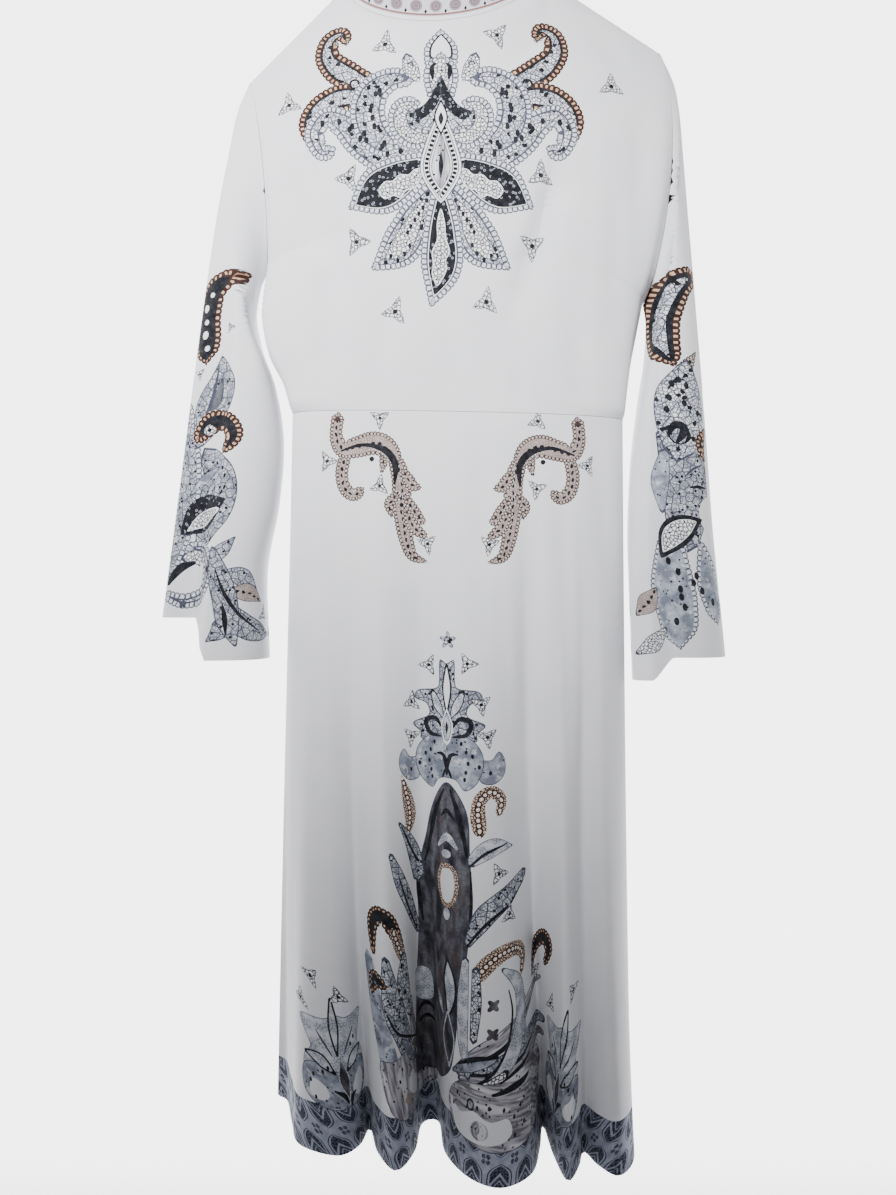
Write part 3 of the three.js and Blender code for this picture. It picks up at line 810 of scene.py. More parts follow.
@dataclass(frozen=True)
class Rosette:
    """A round or petalled motif about a point."""

    x: float
    y: float
    radius: float
    layers: tuple[tuple[float, Ink], ...]
    petals: int = 0
    dent: float = 0.4
    turn: float = 90
    tall: float = 1
    sharp: float = 2

    def regions(self) -> list[Region]:
        """The motif's patches, from the outermost to the innermost."""
        count = max(12, self.petals * 8)
        angle = np.arange(count) * 2 * math.pi / count
        shape = 1 - self.dent * np.abs(np.sin(self.petals * angle / 2)) ** self.sharp
        direction = angle + math.radians(self.turn)
        ray = np.column_stack([np.cos(direction), np.sin(direction) * self.tall])
        centre = np.array([self.x, self.y])
        made = []
        for inset, ink in self.layers:
            radii = np.maximum(self.radius * shape - inset, 0.4)
            outline = centre + ray * radii[:, None]
            made.append(Region(outline, ink, np.array([centre, centre + [0, 1]])))
        return made


PALE_LEAF = ((0, Ink.PALE_TEETH), (6.4, Ink.LINE), (7.4, Ink.LACE), (11, Ink.LINE), (11.9, Ink.FINE_LACE))
BLACK_LEAF = ((0, Ink.PALE_TEETH), (6.4, Ink.LINE), (7.2, Ink.PLAIN), (8.1, Ink.BAND))
CROWN_SCROLL = ((0, Ink.BROWN_TEETH), (5.8, Ink.BLACK), (10.4, Ink.LACE))
DENSE_LEAF = ((0, Ink.LINE), (1.1, Ink.DENSE))
LEAF_HEART = ((0, Ink.PLAIN), (1, Ink.FINE_LACE))
PALE_SCROLL = ((0, Ink.PALE_TEETH), (6.2, Ink.LINE), (7.2, Ink.LACE))
PALE_CURL = ((0, Ink.PALE_TEETH), (5.8, Ink.LINE), (6.8, Ink.FINE_LACE))
BROWN_SCROLL = ((0, Ink.BROWN_TEETH), (6.6, Ink.BLACK), (8.6, Ink.LACE))
BROWN_CURL = ((0, Ink.BROWN_TEETH), (5.4, Ink.BLACK))
BANDED_LEAF = ((0, Ink.LINE), (0.5, Ink.BAND))
TAUPE_SPRAY = ((0, Ink.TAUPE_TEETH), (4, Ink.TAUPE))
TAUPE_LEAF = ((0, Ink.TAUPE_TEETH), (3.6, Ink.TAUPE))
WASH_LEAF = ((0, Ink.LINE), (0.8, Ink.WASH))
LACE_LEAF = ((0, Ink.LINE), (0.9, Ink.LACE))
FINE_LEAF = ((0, Ink.LINE), (0.9, Ink.FINE_LACE))
MIST_LEAF = ((0, Ink.LINE), (0.7, Ink.MIST))
BLACK = ((0, Ink.BLACK),)
BLACK_LOOP = ((0, Ink.BLACK), (1.8, Ink.MIST))
BLACK_CROWN = ((0, Ink.BLACK), (4.8, Ink.PLAIN), (5.6, Ink.FINE_LACE))
GREY = ((0, Ink.LINE),)
WHITE = ((0, Ink.PLAIN),)
CHAIN_PAISLEY = ((0, Ink.CHAIN),)
WASH_LOBE = ((0, Ink.PALE_TEETH), (4.8, Ink.WASH))
WASH_BEAD = ((0, Ink.BLACK), (1.6, Ink.WASH))
TAUPE_BLADE = ((0, Ink.LINE), (0.8, Ink.TAUPE))
FAN_GROUND = ((0, Ink.LINE), (0.7, Ink.FAN))


def patches(motifs: tuple) -> list[Region]:
    """All the patches of some motifs, in their order."""
    return [region for motif in motifs for region in motif.regions()]


def placed(regions: list[Region], x: float, y: float = 0, lean: float = 0) -> list[Region]:
    """Patches moved to a place, leaning to the left below it by this share of the height."""
    def move(spots: Array) -> Array:
        """The spots in their new place."""
        return spots + [x, y] + np.outer(spots[:, 1], [lean, 0])
    return [Region(move(region.outline), region.ink, move(region.guide)) for region in regions]


def drops(spots: tuple[Spot, ...], radius: float = 1.5) -> list[Region]:
    """Small black drops."""
    return patches(tuple(Rosette(*spot, radius, BLACK, tall=1.5) for spot in spots))


def sprig(x: float, y: float, turn: float, radius: float = 10.5) -> list[Region]:
    """A small three-cornered leaf with a dark heart."""
    outer = Rosette(x, y, radius * 1.4, FINE_LEAF, petals=3, dent=0.62, turn=turn, tall=1.1, sharp=0.8)
    return outer.regions() + Rosette(x, y, radius * 0.22, BLACK).regions()


@dataclass(frozen=True)
class Crease:
    """A soft fold in the cloth, from one place on its flat cut to another."""

    start: Spot
    end: Spot
    half: float
    depth: float  # into the cloth; a ridge where it is below zero

    def height(self, flat: Array) -> Array:
        """How far the crease moves each place of the cloth outwards."""
        start, end = np.array(self.start), np.array(self.end)
        step = end - start
        along = np.clip(((flat - start) @ step) / (step @ step), 0, 1)
        away = np.linalg.norm(flat - start - along[..., None] * step, axis=-1) / self.half
        return -self.depth * np.exp(-away**2) * np.sin(np.pi * np.clip(along, *CREASE_ENDS))


def crease_rows(*rows: tuple[float, ...]) -> tuple[Crease, ...]:
    """Creases from rows of a start, an end, a half width and a depth."""
    return tuple(Crease(row[:2], row[2:4], *row[4:]) for row in rows)


@dataclass
class Panel:
    """A piece of cloth, as rows of places down it and their places on the flat cut, in mm."""

    places: Array
    flat: Array
    mirrored: bool = False

    def normals(self) -> Array:
        """The outward direction at each place."""
        p = self.places
        rows, columns = p.shape[0] - 1, p.shape[1] - 1
        diagonal = p[1:, 1:] - p[:-1, :-1]
        lower = np.cross(p[1:, :-1] - p[:-1, :-1], diagonal)
        upper = np.cross(diagonal, p[:-1, 1:] - p[:-1, :-1])
        facing = np.zeros_like(p)
        for part, corners in ((lower, ((0, 0), (1, 0), (1, 1))), (upper, ((0, 0), (1, 1), (0, 1)))):
            for i, j in corners:
                facing[i:i + rows, j:j + columns] += part
        facing *= -1 if self.mirrored else 1
        return facing / np.maximum(np.linalg.norm(facing, axis=2), 1e-9)[:, :, None]

    def creased(self, creases: tuple[Crease, ...], gain: Array | float = 1) -> "Panel":
        """The panel with its soft folds pressed in, scaled by gain where they have to fade."""
        height = sum(crease.height(self.flat) for crease in creases) * gain
        self.places = self.places + self.normals() * height[:, :, None]
        return self

    def rim(self) -> Array:
        """The numbers of the places round the edge, in order."""
        rows, columns = self.flat.shape[:2]
        numbers = np.arange(rows * columns).reshape(rows, columns)
        return np.concatenate([
            numbers[0, :-1], numbers[:-1, -1], numbers[-1, :0:-1], numbers[:0:-1, 0],
        ])


@dataclass
class Cloth:
    """One sewn piece of jersey, cut along its print and made as a thin shell."""

    node: str
    panel: Panel
    regions: list[Region]
    flat_size: Spot | None  # metres, or None for a trim that is sewn on another piece
    area: float | None = None  # square metres of the flat cut
    slot: str = "jersey"
    trims: tuple[str, ...] = ()
    thickness: float = 0.9
    base: Ink = Ink.PLAIN
    reverse: Ink = Ink.PLAIN

    def build(self, inks: dict[Ink, bpy.types.Material]) -> bpy.types.Object:
        """Args:
            inks: The material of each ink.

        Returns:
            The finished piece.
        """
        spots, triangles, owners = self._cut()
        places, normals = self._lifted(spots)
        facing = np.cross(
            places[triangles[:, 1]] - places[triangles[:, 0]],
            places[triangles[:, 2]] - places[triangles[:, 0]],
        )
        turned = (facing * normals[triangles].mean(1)).sum(1) < 0
        triangles[turned] = triangles[turned][:, ::-1]
        printed = self._print_places(spots, triangles, owners)
        used = [self.base, self.reverse, *(region.ink for region in self.regions)]
        order = list(dict.fromkeys(used))
        inner = triangles[:, ::-1] + len(spots)
        edges = self._open_edges(triangles)
        first, second = edges.T
        rims = np.column_stack([second, first, first + len(spots), second + len(spots)])
        mesh = bpy.data.meshes.new(f"{self.node}_cloth")
        layers = np.concatenate([places, places - normals * self.thickness]) * MM
        mesh.from_pydata(layers.tolist(), [], triangles.tolist() + inner.tolist() + rims.tolist())
        slots = [order.index(self.base if k == 0 else self.regions[k - 1].ink) for k in owners]
        slots += [order.index(self.reverse)] * (len(inner) + len(rims))
        mesh.polygons.foreach_set("material_index", slots)
        mesh.polygons.foreach_set("use_smooth", [True] * len(slots))
        corners = np.concatenate([triangles.ravel(), inner.ravel(), rims.ravel()]) % len(spots)
        self._lay(mesh, "cloth", spots[corners])
        hidden = np.zeros((len(corners) - triangles.size, 2))
        self._lay(mesh, "print", np.concatenate([printed.reshape(-1, 2), hidden]))
        mesh.normals_split_custom_set_from_vertices(np.concatenate([normals, -normals]).tolist())
        for ink in order:
            mesh.materials.append(inks[ink])
        piece = bpy.data.objects.new(f"{self.node}_cloth", mesh)
        bpy.context.scene.collection.objects.link(piece)
        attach(piece, "root")
        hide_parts(self.node)
        log.info("%s: %d triangles", piece.name, 2 * len(triangles) + 2 * len(rims))
        return piece

    def _cut(self) -> tuple[Array, Array, Array]:
        """Cuts the flat piece into triangles along the print.

        Returns:
            The flat places, the triangles, and for each triangle 0 or its region's number.
        """
        flat = self.panel.flat.reshape(-1, 2)
        rim = self.panel.rim()
        is_inner = np.ones(len(flat), bool)
        is_inner[rim] = False
        edge = counter_clockwise(flat[rim])
        points = [edge, flat[is_inner]]
        faces = [list(range(len(edge)))]
        count = len(edge) + is_inner.sum()
        for region in self.regions:
            outline = counter_clockwise(region.outline)
            faces.append(list(range(count, count + len(outline))))
            points.append(outline)
            count += len(outline)
        spots = [Vector(spot) for spot in np.concatenate(points).tolist()]
        found = delaunay_2d_cdt(spots, [], faces, 1, MERGE_GAP, True)
        owners = [max(owner) if 0 in owner else -1 for owner in found[5]]
        spots = np.array([tuple(spot) for spot in found[0]])
        triangles = np.array([face for face, owner in zip(found[2], owners) if owner >= 0])
        owners = np.array([owner for owner in owners if owner >= 0])
        first, second, third = (spots[triangles[:, i]] for i in range(3))
        a, b = second - first, third - first
        is_real = np.abs(a[:, 0] * b[:, 1] - a[:, 1] * b[:, 0]) > LEAST_DOUBLE_AREA
        kept, numbers = np.unique(triangles[is_real], return_inverse=True)
        return spots[kept], numbers.reshape(-1, 3), owners[is_real]

    def _lifted(self, spots: Array) -> tuple[Array, Array]:
        """Where flat places lie on the hung piece, and which way the cloth faces there."""
        rows, columns = self.panel.flat.shape[:2]
        numbers = np.arange(rows * columns).reshape(rows, columns)
        a, b, c, d = numbers[:-1, :-1], numbers[1:, :-1], numbers[1:, 1:], numbers[:-1, 1:]
        triangles = np.concatenate([
            np.stack([a, b, c], -1).reshape(-1, 3), np.stack([a, c, d], -1).reshape(-1, 3),
        ])
        flat = self.panel.flat.reshape(-1, 2)
        level = np.column_stack([flat, np.zeros(len(flat))])
        tree = BVHTree.FromPolygons(level.tolist(), triangles.tolist())
        hits = np.array([tree.find_nearest((x, y, 0))[2] for x, y in spots.tolist()])
        corners = triangles[hits]
        first, second, third = (flat[corners[:, i]] for i in range(3))
        u, v, w = second - first, third - first, spots - first
        area = u[:, 0] * v[:, 1] - u[:, 1] * v[:, 0]
        to_second = (w[:, 0] * v[:, 1] - w[:, 1] * v[:, 0]) / area
        to_third = (u[:, 0] * w[:, 1] - u[:, 1] * w[:, 0]) / area
        parts = np.clip(np.stack([1 - to_second - to_third, to_second, to_third], 1), 0, 1)
        parts /= parts.sum(1)[:, None]
        places = (self.panel.places.reshape(-1, 3)[corners] * parts[:, :, None]).sum(1)
        normals = (self.panel.normals().reshape(-1, 3)[corners] * parts[:, :, None]).sum(1)
        return places, normals / np.linalg.norm(normals, axis=1)[:, None]

    def _print_places(self, spots: Array, triangles: Array, owners: Array) -> Array:
        """Where each corner lies along and across the line that its pattern follows."""
        printed = np.zeros((len(triangles), 3, 2))
        for number, region in enumerate(self.regions, 1):
            mine = np.flatnonzero(owners == number)
            if not len(mine):
                continue
            corners = spots[triangles[mine]]
            along, across = guide_places(corners.reshape(-1, 2), region.guide)
            middle, _ = guide_places(corners.mean(1), region.guide)
            along = along.reshape(-1, 3)
            if np.allclose(region.guide[0], region.guide[-1]):
                whole = lengths_along(region.guide)[-1]
                along = along + whole * np.round((middle[:, None] - along) / whole)
            printed[mine] = np.stack([along, across.reshape(-1, 3)], -1)
        return printed

    @staticmethod
    def _open_edges(triangles: Array) -> Array:
        """The edges that belong to one triangle only, in that triangle's direction."""
        edges = np.concatenate([triangles[:, [0, 1]], triangles[:, [1, 2]], triangles[:, [2, 0]]])
        _, number, count = np.unique(np.sort(edges, 1), axis=0, return_inverse=True, return_counts=True)
        return edges[count[number.ravel()] == 1]

    @staticmethod
    def _lay(mesh: bpy.types.Mesh, name: str, places: Array) -> None:
        """Writes a UV layer, in metres."""
        layer = mesh.uv_layers.new(name=name)
        layer.data.foreach_set("uv", (places * MM).ravel())


def counter_clockwise(outline: Array) -> Array:
    """An outline without repeated points, in the direction and from the corner that cutting needs."""
    outline = outline[np.linalg.norm(outline - np.roll(outline, 1, axis=0), axis=1) > LEAST_GAP]
    following = np.roll(outline, -1, axis=0)
    doubled = (outline[:, 0] * following[:, 1] - outline[:, 1] * following[:, 0]).sum()
    outline = outline if doubled > 0 else outline[::-1]
    return np.roll(outline, -outline[:, 1].argmin(), axis=0)


def surface_area(places: Array) -> float:
    """The area of a grid of places in mm, in square metres."""
    down = np.diff(places, axis=0)[:, :-1]
    across = np.diff(places, axis=1)[:-1]
    return float(np.linalg.norm(np.cross(down, across), axis=2).sum() * MM * MM)


@dataclass
class Skirt:
    """Both halves of the skirt: a waist oval that opens into a deeply folded hem."""

    waist: tuple = (-161, 181)
    waist_z: float = -565
    waist_fall: float = 0.02
    waist_depth: dict = by_side(38, 34)
    waist_square: float = 2.6
    hem: tuple = (-180, 186)
    hem_z: float = -1303
    hem_depth: dict = by_side(52, 70)
    hem_square: float = 2.4
    fold_growth: float = 2.1
    seam: float = 0.2
    front_folds: tuple[Spot, ...] = (
        (-189, 68), (-176, 54), (-164, 10), (-150, -30), (-110, -50), (-89, -32), (-81, -2),
        (-70, -44), (-50, -75), (-33, -42), (-27, 8), (-10, 12), (-3, -44), (20, -86), (50, -102),
        (80, -80), (92, -38), (99, 3), (104, -48), (113, -91), (127, -68), (135, -43), (146, -66),
        (163, -83), (182, -58), (189, -12), (189, 24),
    )
    back_folds: tuple[Spot, ...] = (
        (168, 84), (136, 82), (112, 50), (92, 72), (62, 98), (32, 84), (8, 52), (-16, 70),
        (-50, 100), (-82, 86), (-104, 54), (-126, 74), (-154, 100), (-183, 92),
    )
    rows: int = 84
    columns: dict = by_side(168, 120)
    centre_share: dict = by_side((0.4725, 0.4775), (0.5, 0.5))
    border: float = 48
    border_below: float = 5  # how far the border's patch reaches below the hem
    border_share: float = 0.6  # half its length, as a share of the hem's
    border_step: float = 4
    crease_fade: float = 0.12
    creases: dict = by_side(
        crease_rows(
            (-112, 738, -118, 380, 13, 2.6), (-88, 700, -92, 300, 10, 1.9), (-30, 735, -38, 520, 12, 1.6),
            (-8, 560, -12, 250, 14, 2.2), (34, 738, 30, 430, 12, 1.8), (84, 720, 92, 330, 13, 2.9),
            (112, 738, 124, 420, 10, 2.2), (150, 738, 166, 560, 11, 1.8), (-150, 736, -172, 500, 12, 2.0),
            (62, 600, 70, 420, 9, -1.3), (-62, 738, -60, 590, 9, -1.2), (130, 610, 150, 330, 9, -1.6),
        ),
        crease_rows(
            (-124, 738, -142, 360, 13, 2.5), (-70, 720, -78, 470, 11, 1.8), (-16, 738, -10, 400, 13, 2.4),
            (48, 738, 56, 520, 10, 1.7), (96, 700, 116, 330, 14, 2.8), (146, 738, 168, 540, 10, 1.6),
            (20, 560, 26, 300, 10, -1.4),
        ),
    )

    def panel(self, side: Side) -> Panel:
        """One half of the skirt."""
        parts = np.linspace(0, 1, self.columns[side] + 1)
        top = points_along(half_oval(*self.waist, self.waist_depth[side], self.waist_square, side), parts)
        plain = points_along(half_oval(*self.hem, self.hem_depth[side], self.hem_square, side), parts)
        folded = points_along(self._folded_hem(side), parts)
        down = np.linspace(0, 1, self.rows + 1)[:, None, None]
        level = between(top, plain, down) + (folded - plain) * down**self.fold_growth
        waist_height = self.waist_z - self.waist_fall * top[:, :1]
        height = between(waist_height, self.hem_z, down)
        places = np.concatenate([level, np.broadcast_to(height, (*level.shape[:2], 1))], 2)
        widths = np.array([lengths_along(row)[-1] for row in level])
        start, end = self.centre_share[side]
        centre = between(start, end, down[:, 0, 0])
        across = (parts[None] - centre[:, None]) * widths[:, None]
        up = np.broadcast_to((1 - down[:, :, 0]) * (self.waist_z - self.hem_z), across.shape)
        sign = -1 if side is Side.BACK else 1
        panel = Panel(places, np.stack([sign * across, up], -1), side is Side.BACK)
        panel.creased(self.creases[side], ease(np.sin(np.pi * down[:, 0]), 0, self.crease_fade))
        panel.places[0, :, 2] -= self.seam
        panel.places[:, 0, 1] += side.value * self.seam
        panel.places[:, -1, 1] += side.value * self.seam
        return panel

    def _folded_hem(self, side: Side) -> Array:
        """The folded hem of one half, seen from above, from left to right."""
        knots = np.array(self.front_folds + self.back_folds, float)
        steps = 60
        curve = curve_through(knots, closed=True, steps=steps)
        split = (len(self.front_folds) - 1) * steps
        return curve[:split + 1] if side is Side.FRONT else curve[split:][::-1]

    def cloth(self, side: Side) -> Cloth:
        """One half of the skirt, printed."""
        panel = self.panel(side)
        hem_width = lengths_along(panel.places[-1])[-1] * MM
        height = (self.waist_z - self.hem_z) * MM
        reach = hem_width / MM * self.border_share
        along = np.arange(-reach, reach, self.border_step)
        edge = np.column_stack([along, np.full(len(along), self.border)])
        low = [(-reach, -self.border_below), (reach, -self.border_below)]
        border = np.concatenate([low, edge[::-1]])
        regions = [Region(border, Ink.HEM, border[:2])]
        regions += SkirtPrint().regions()
        return Cloth(
            f"skirt_{side.name.lower()}", panel, regions, (hem_width, height),
            min(surface_area(panel.places), hem_width * height),
        )


class SkirtPrint:
    """The print of the skirt, in mm from its centre line and from the hem."""

    def regions(self) -> list[Region]:
        """Every patch of it, lowest layer first."""
        palmette = self._palmette()
        mirrored = [region.mirrored() for region in palmette]
        return [
            *placed(self._sprays(), 10), *self._crown(), *self._foot(), *self._column(), *self._leaves(),
            *self._paisleys(), *self._heart(), *self._fans(),
            *placed(palmette, -294, 0, 0.49), *placed(mirrored, 252, 0, -0.3), *self._sprigs(),
        ]

    def _sprays(self) -> list[Region]:
        """Two mirrored scrolled sprays under the waist."""
        return both_sides(patches((
            Frond(((-62, 688), (-56, 668), (-56, 646), (-54, 624), (-50, 604), (-44, 592), (-28, 586)),
                  (8, 10, 10, 9, 8, 6, 1), TAUPE_SPRAY),
            Frond(((-54, 678), (-46, 664), (-36, 661)), (4, 7, 3), TAUPE_LEAF, True),
            Frond(((-52, 652), (-42, 636), (-32, 624)), (4, 6, 3), TAUPE_LEAF, True),
            Frond(((-52, 640), (-44, 622), (-30, 611)), (4, 7, 3), TAUPE_LEAF, True),
            Frond(((-60, 654), (-68, 644), (-66, 632)), (4, 6, 2), TAUPE_LEAF),
            Frond(((-112, 696), (-117, 676), (-114, 660), (-104, 653), (-95, 660)),
                  (6, 7, 7, 7, 5), TAUPE_SPRAY, True),
            Frond(((-121, 731), (-123, 712), (-116, 699), (-101, 701), (-84, 705), (-71, 700), (-60, 684)),
                  (7, 7, 9, 11, 12, 11, 7), TAUPE_SPRAY, True),
            Frond(((-118, 697), (-98, 703), (-80, 701), (-68, 694), (-62, 682), (-63, 664)),
                  (0.8, 1.6, 2.2, 3.6, 3.2, 1), BLACK),
            Frond(((-78, 696), (-74, 686), (-76, 676)), (1, 4.5, 2), TAUPE_LEAF),
            Rosette(-86, 689, 2.6, BLACK),
        )))

    def _crown(self) -> list[Region]:
        """The finial, its loops and the blue-grey lobes over the column."""
        finial = Patch(
            ((0, 486), (-8, 489), (-9, 468), (-13, 461), (-31, 459), (-35, 451), (-24, 445), (-22, 434),
             (-38, 426), (-31, 417), (-26, 408)), DENSE_LEAF, True,
        )
        lobes = Patch(
            ((0, 416), (-22, 414), (-34, 402), (-37, 386), (-31, 368), (-20, 361), (-10, 371)),
            WASH_LEAF, True,
        )
        ear = Patch(
            ((-34, 390), (-44, 392), (-51, 400), (-58, 392), (-58, 378), (-47, 368), (-34, 371)), WASH_LEAF,
        )
        sides = patches((
            ear,
            Frond(((-4, 431), (-12, 446), (-17, 458)), (1.5, 5, 2.5), ((0, Ink.BLACK), (1.1, Ink.MIST))),
            Frond(((-6, 421), (-14, 431), (-25, 428), (-21, 416), (-7, 413)),
                  (0.8, 2.2, 2.4, 2.1, 0.8), BLACK),
        ))
        horn = patches((
            Frond(((-13, 396), (-5, 395), (-1, 385), (0, 376)), (0.7, 2.3, 2.2, 1.4), BLACK),
            Frond(((-2, 381), (-6, 372)), (0.8, 1.5, 0.6), BLACK),
        ))
        pearl = ((0, Ink.PLAIN), (1.6, Ink.LINE), (2.4, Ink.MIST))
        middle = patches((
            Frond(((0, 484), (0, 460), (0, 436)), (1.8, 5.4, 1.4), ((0, Ink.BLACK), (1.8, Ink.PLAIN))),
            Frond(((0, 440), (0, 424), (0, 408)), (0.8, 7, 4), pearl),
            Frond(((0, 428), (0, 422), (0, 416)), (0.4, 1.7, 0.4), BLACK),
            Frond(((0, 403), (0, 396), (0, 389)), (0.4, 2.2, 0.4), WASH_LEAF),
        ))
        black = drops((
            (-16, 407), (-21, 399), (-27, 395), (-23, 388), (-33, 385), (-21, 379), (-20, 372), (-43, 379),
        ))
        return [
            *finial.regions(), *both_sides(sides[:2]), *lobes.regions(), *both_sides(sides[2:]), *middle,
            *both_sides(horn), *both_sides(black),
        ]

    def _column(self) -> list[Region]:
        """The dark column down the middle, with its pale hearts."""
        column = Patch(
            ((0, 368), (-13, 358), (-25, 336), (-33, 310), (-41, 284), (-46, 262), (-50, 214), (-62, 160),
             (-72, 124), (-86, 84), (-84, 62), (-30, 66), (4, 84), (14, 110), (20, 150), (26, 190),
             (29, 218), (30, 262), (27, 300), (24, 336), (13, 358)), ((0, Ink.LINE), (1.2, Ink.SMOKE)),
        )
        edges = (
            Frond(((-4, 361), (-17, 338), (-27, 308), (-36, 284)), (0.8, 3, 2.4, 0.8), BLACK),
            Frond(((4, 361), (13, 340), (21, 312), (25, 290)), (0.8, 3, 2.2, 0.8), BLACK),
            Frond(((-43, 282), (-45, 258), (-44, 222)), (0.6, 2.6, 0.8), BLACK),
            Frond(((28, 284), (30, 250), (28, 212)), (0.8, 1.6, 0.8), BLACK),
            Frond(((-13, 304), (0, 314), (13, 304)), (1.5, 4, 1.5), ((0, Ink.MIST),)),
            Frond(((-8, 334), (0, 340), (9, 332)), (1, 2.4, 1), BLACK),
            Rosette(-1, 297, 7, ((0, Ink.MIST),), tall=0.6),
            Patch(
                ((0, 288), (-11, 284), (-16, 268), (-11, 250), (0, 244), (11, 250), (16, 268), (11, 284)),
                ((0, Ink.CHAIN), (5, Ink.PLAIN)),
            ),
            Rosette(0, 238, 5, ((0, Ink.MIST),), tall=1.2),
            Frond(((-20, 200), (-18, 192), (-20, 184)), (1, 4, 1), BLACK),
            Frond(((1, 196), (4, 176), (6, 158), (2, 136)), (1, 10, 9, 2), ((0, Ink.BLACK), (3, Ink.MIST))),
            Frond(((-22, 160), (-16, 150), (-6, 136)), (1, 5, 1), ((0, Ink.LINE), (1, Ink.MIST))),
            Frond(((2, 142), (3, 118), (5, 90)), (2, 11, 1), ((0, Ink.MIST), (2, Ink.SMOKE))),
            Frond(((-64, 126), (-54, 133), (-42, 127)), (1.2, 2.4, 1.2), BLACK),
            Frond(((-66, 114), (-54, 119), (-42, 115)), (1.2, 2.2, 1.2), BLACK),
            Patch(((-62, 172), (-44, 168), (-40, 146), (-52, 136), (-66, 146)), ((0, Ink.MIST),)),
        )
        return [*column.regions(), *patches(edges)]

    def _leaves(self) -> list[Region]:
        """The leaf sprays and blades beside the column."""
        return patches((
            Frond(((27, 292), (46, 307), (70, 307)), (5, 9, 0.8), MIST_LEAF),
            Frond(((27, 288), (41, 302), (62, 310)), (0.8, 1.5, 0.5), BLACK),
            Frond(((-66, 326), (-50, 300), (-44, 268)), (2, 9, 7), DENSE_LEAF),
            Frond(((-63, 322), (-54, 304), (-42, 284)), (0.7, 1.5, 1.3), BLACK),
            Frond(((27, 214), (44, 244), (68, 262), (92, 278)), (4, 10, 10, 5), DENSE_LEAF),
            Frond(((27, 212), (46, 237), (70, 253), (92, 270)), (0.9, 1.5, 1.3, 0.5), BLACK),
            Frond(((-82, 296), (-74, 268), (-62, 240), (-50, 212)), (3, 9, 9, 4), DENSE_LEAF),
            Frond(((-76, 274), (-68, 246), (-52, 214)), (0.7, 1.6, 1), BLACK),
        ))

    def _paisleys(self) -> list[Region]:
        """The brown spindle, hooks and caterpillars."""
        dark = ((0, Ink.BROWN_TEETH), (4, Ink.BLACK))
        banded = ((0, Ink.BROWN_TEETH), (4, Ink.BAND))
        return patches((
            Frond(((-57, 373), (-51, 350), (-49, 332), (-54, 315)), (0.8, 7, 8.5, 4), CHAIN_PAISLEY, True),
            Frond(((52, 340), (55, 352), (44, 361), (34, 352), (33, 336), (36, 318)),
                  (4, 6, 6, 6, 7, 5), CHAIN_PAISLEY, True),
            Frond(((92, 184), (94, 199), (80, 208), (60, 206), (46, 196), (38, 182)),
                  (5, 7, 7, 8, 8, 6), CHAIN_PAISLEY, True),
            Frond(((124, 168), (127, 198), (142, 212), (156, 202), (152, 184)), (2, 6, 9, 8, 5), dark, True),
            Frond(((-128, 200), (-121, 228), (-106, 238), (-95, 224), (-88, 186)),
                  (4, 8, 9, 8, 5), dark, True),
            Frond(((-96, 222), (-92, 204), (-86, 186)), (5, 7, 5), CHAIN_PAISLEY, True),
            Frond(((-146, 160), (-134, 174), (-118, 170)), (4, 9, 5), banded, True),
        ))

    def _heart(self) -> list[Region]:
        """The leaves, the drawn lines and the small squares on both sides of the column's foot."""
        square = ((0, Ink.SMOKE),)
        return patches((
            Frond(((26, 200), (24, 160), (26, 120), (34, 90)), (4, 7, 7, 3), MIST_LEAF),
            Frond(((37, 192), (39, 160), (38, 126)), (4, 5.5, 4), LACE_LEAF),
            Frond(((62, 192), (86, 172), (90, 142), (78, 112), (52, 88)), (2, 9, 10, 9, 4), MIST_LEAF),
            Rosette(55, 160, 7, square, petals=4, dent=0.5, turn=45),
            Rosette(56, 134, 7, square, petals=4, dent=0.5, turn=45),
            Frond(((70, 172), (76, 150), (72, 122), (58, 98), (36, 82)), (0.6, 1.3, 1.3, 1.3, 0.8), BLACK),
            Frond(((34, 78), (50, 84), (72, 98)), (1, 5.5, 4), ((0, Ink.BLACK), (1.1, Ink.FINE_LACE))),
            Frond(((12, 90), (36, 103), (62, 112)), (2, 7, 2), WASH_LEAF),
            Frond(((18, 98), (42, 110), (62, 114)), (0.6, 2.4, 1.4), BLACK),
            Frond(((-86, 196), (-94, 166), (-90, 136)), (4, 12, 7), LACE_LEAF),
            Frond(((-126, 144), (-120, 124), (-98, 112), (-74, 103)), (0.8, 1.6, 1.5, 0.8), BLACK),
            Frond(((-116, 116), (-102, 97), (-78, 86)), (2, 9, 4), WASH_LEAF),
            Frond(((-100, 112), (-94, 96), (-84, 84)), (1, 4, 1), ((0, Ink.BLACK), (1, Ink.FINE_LACE))),
        ))

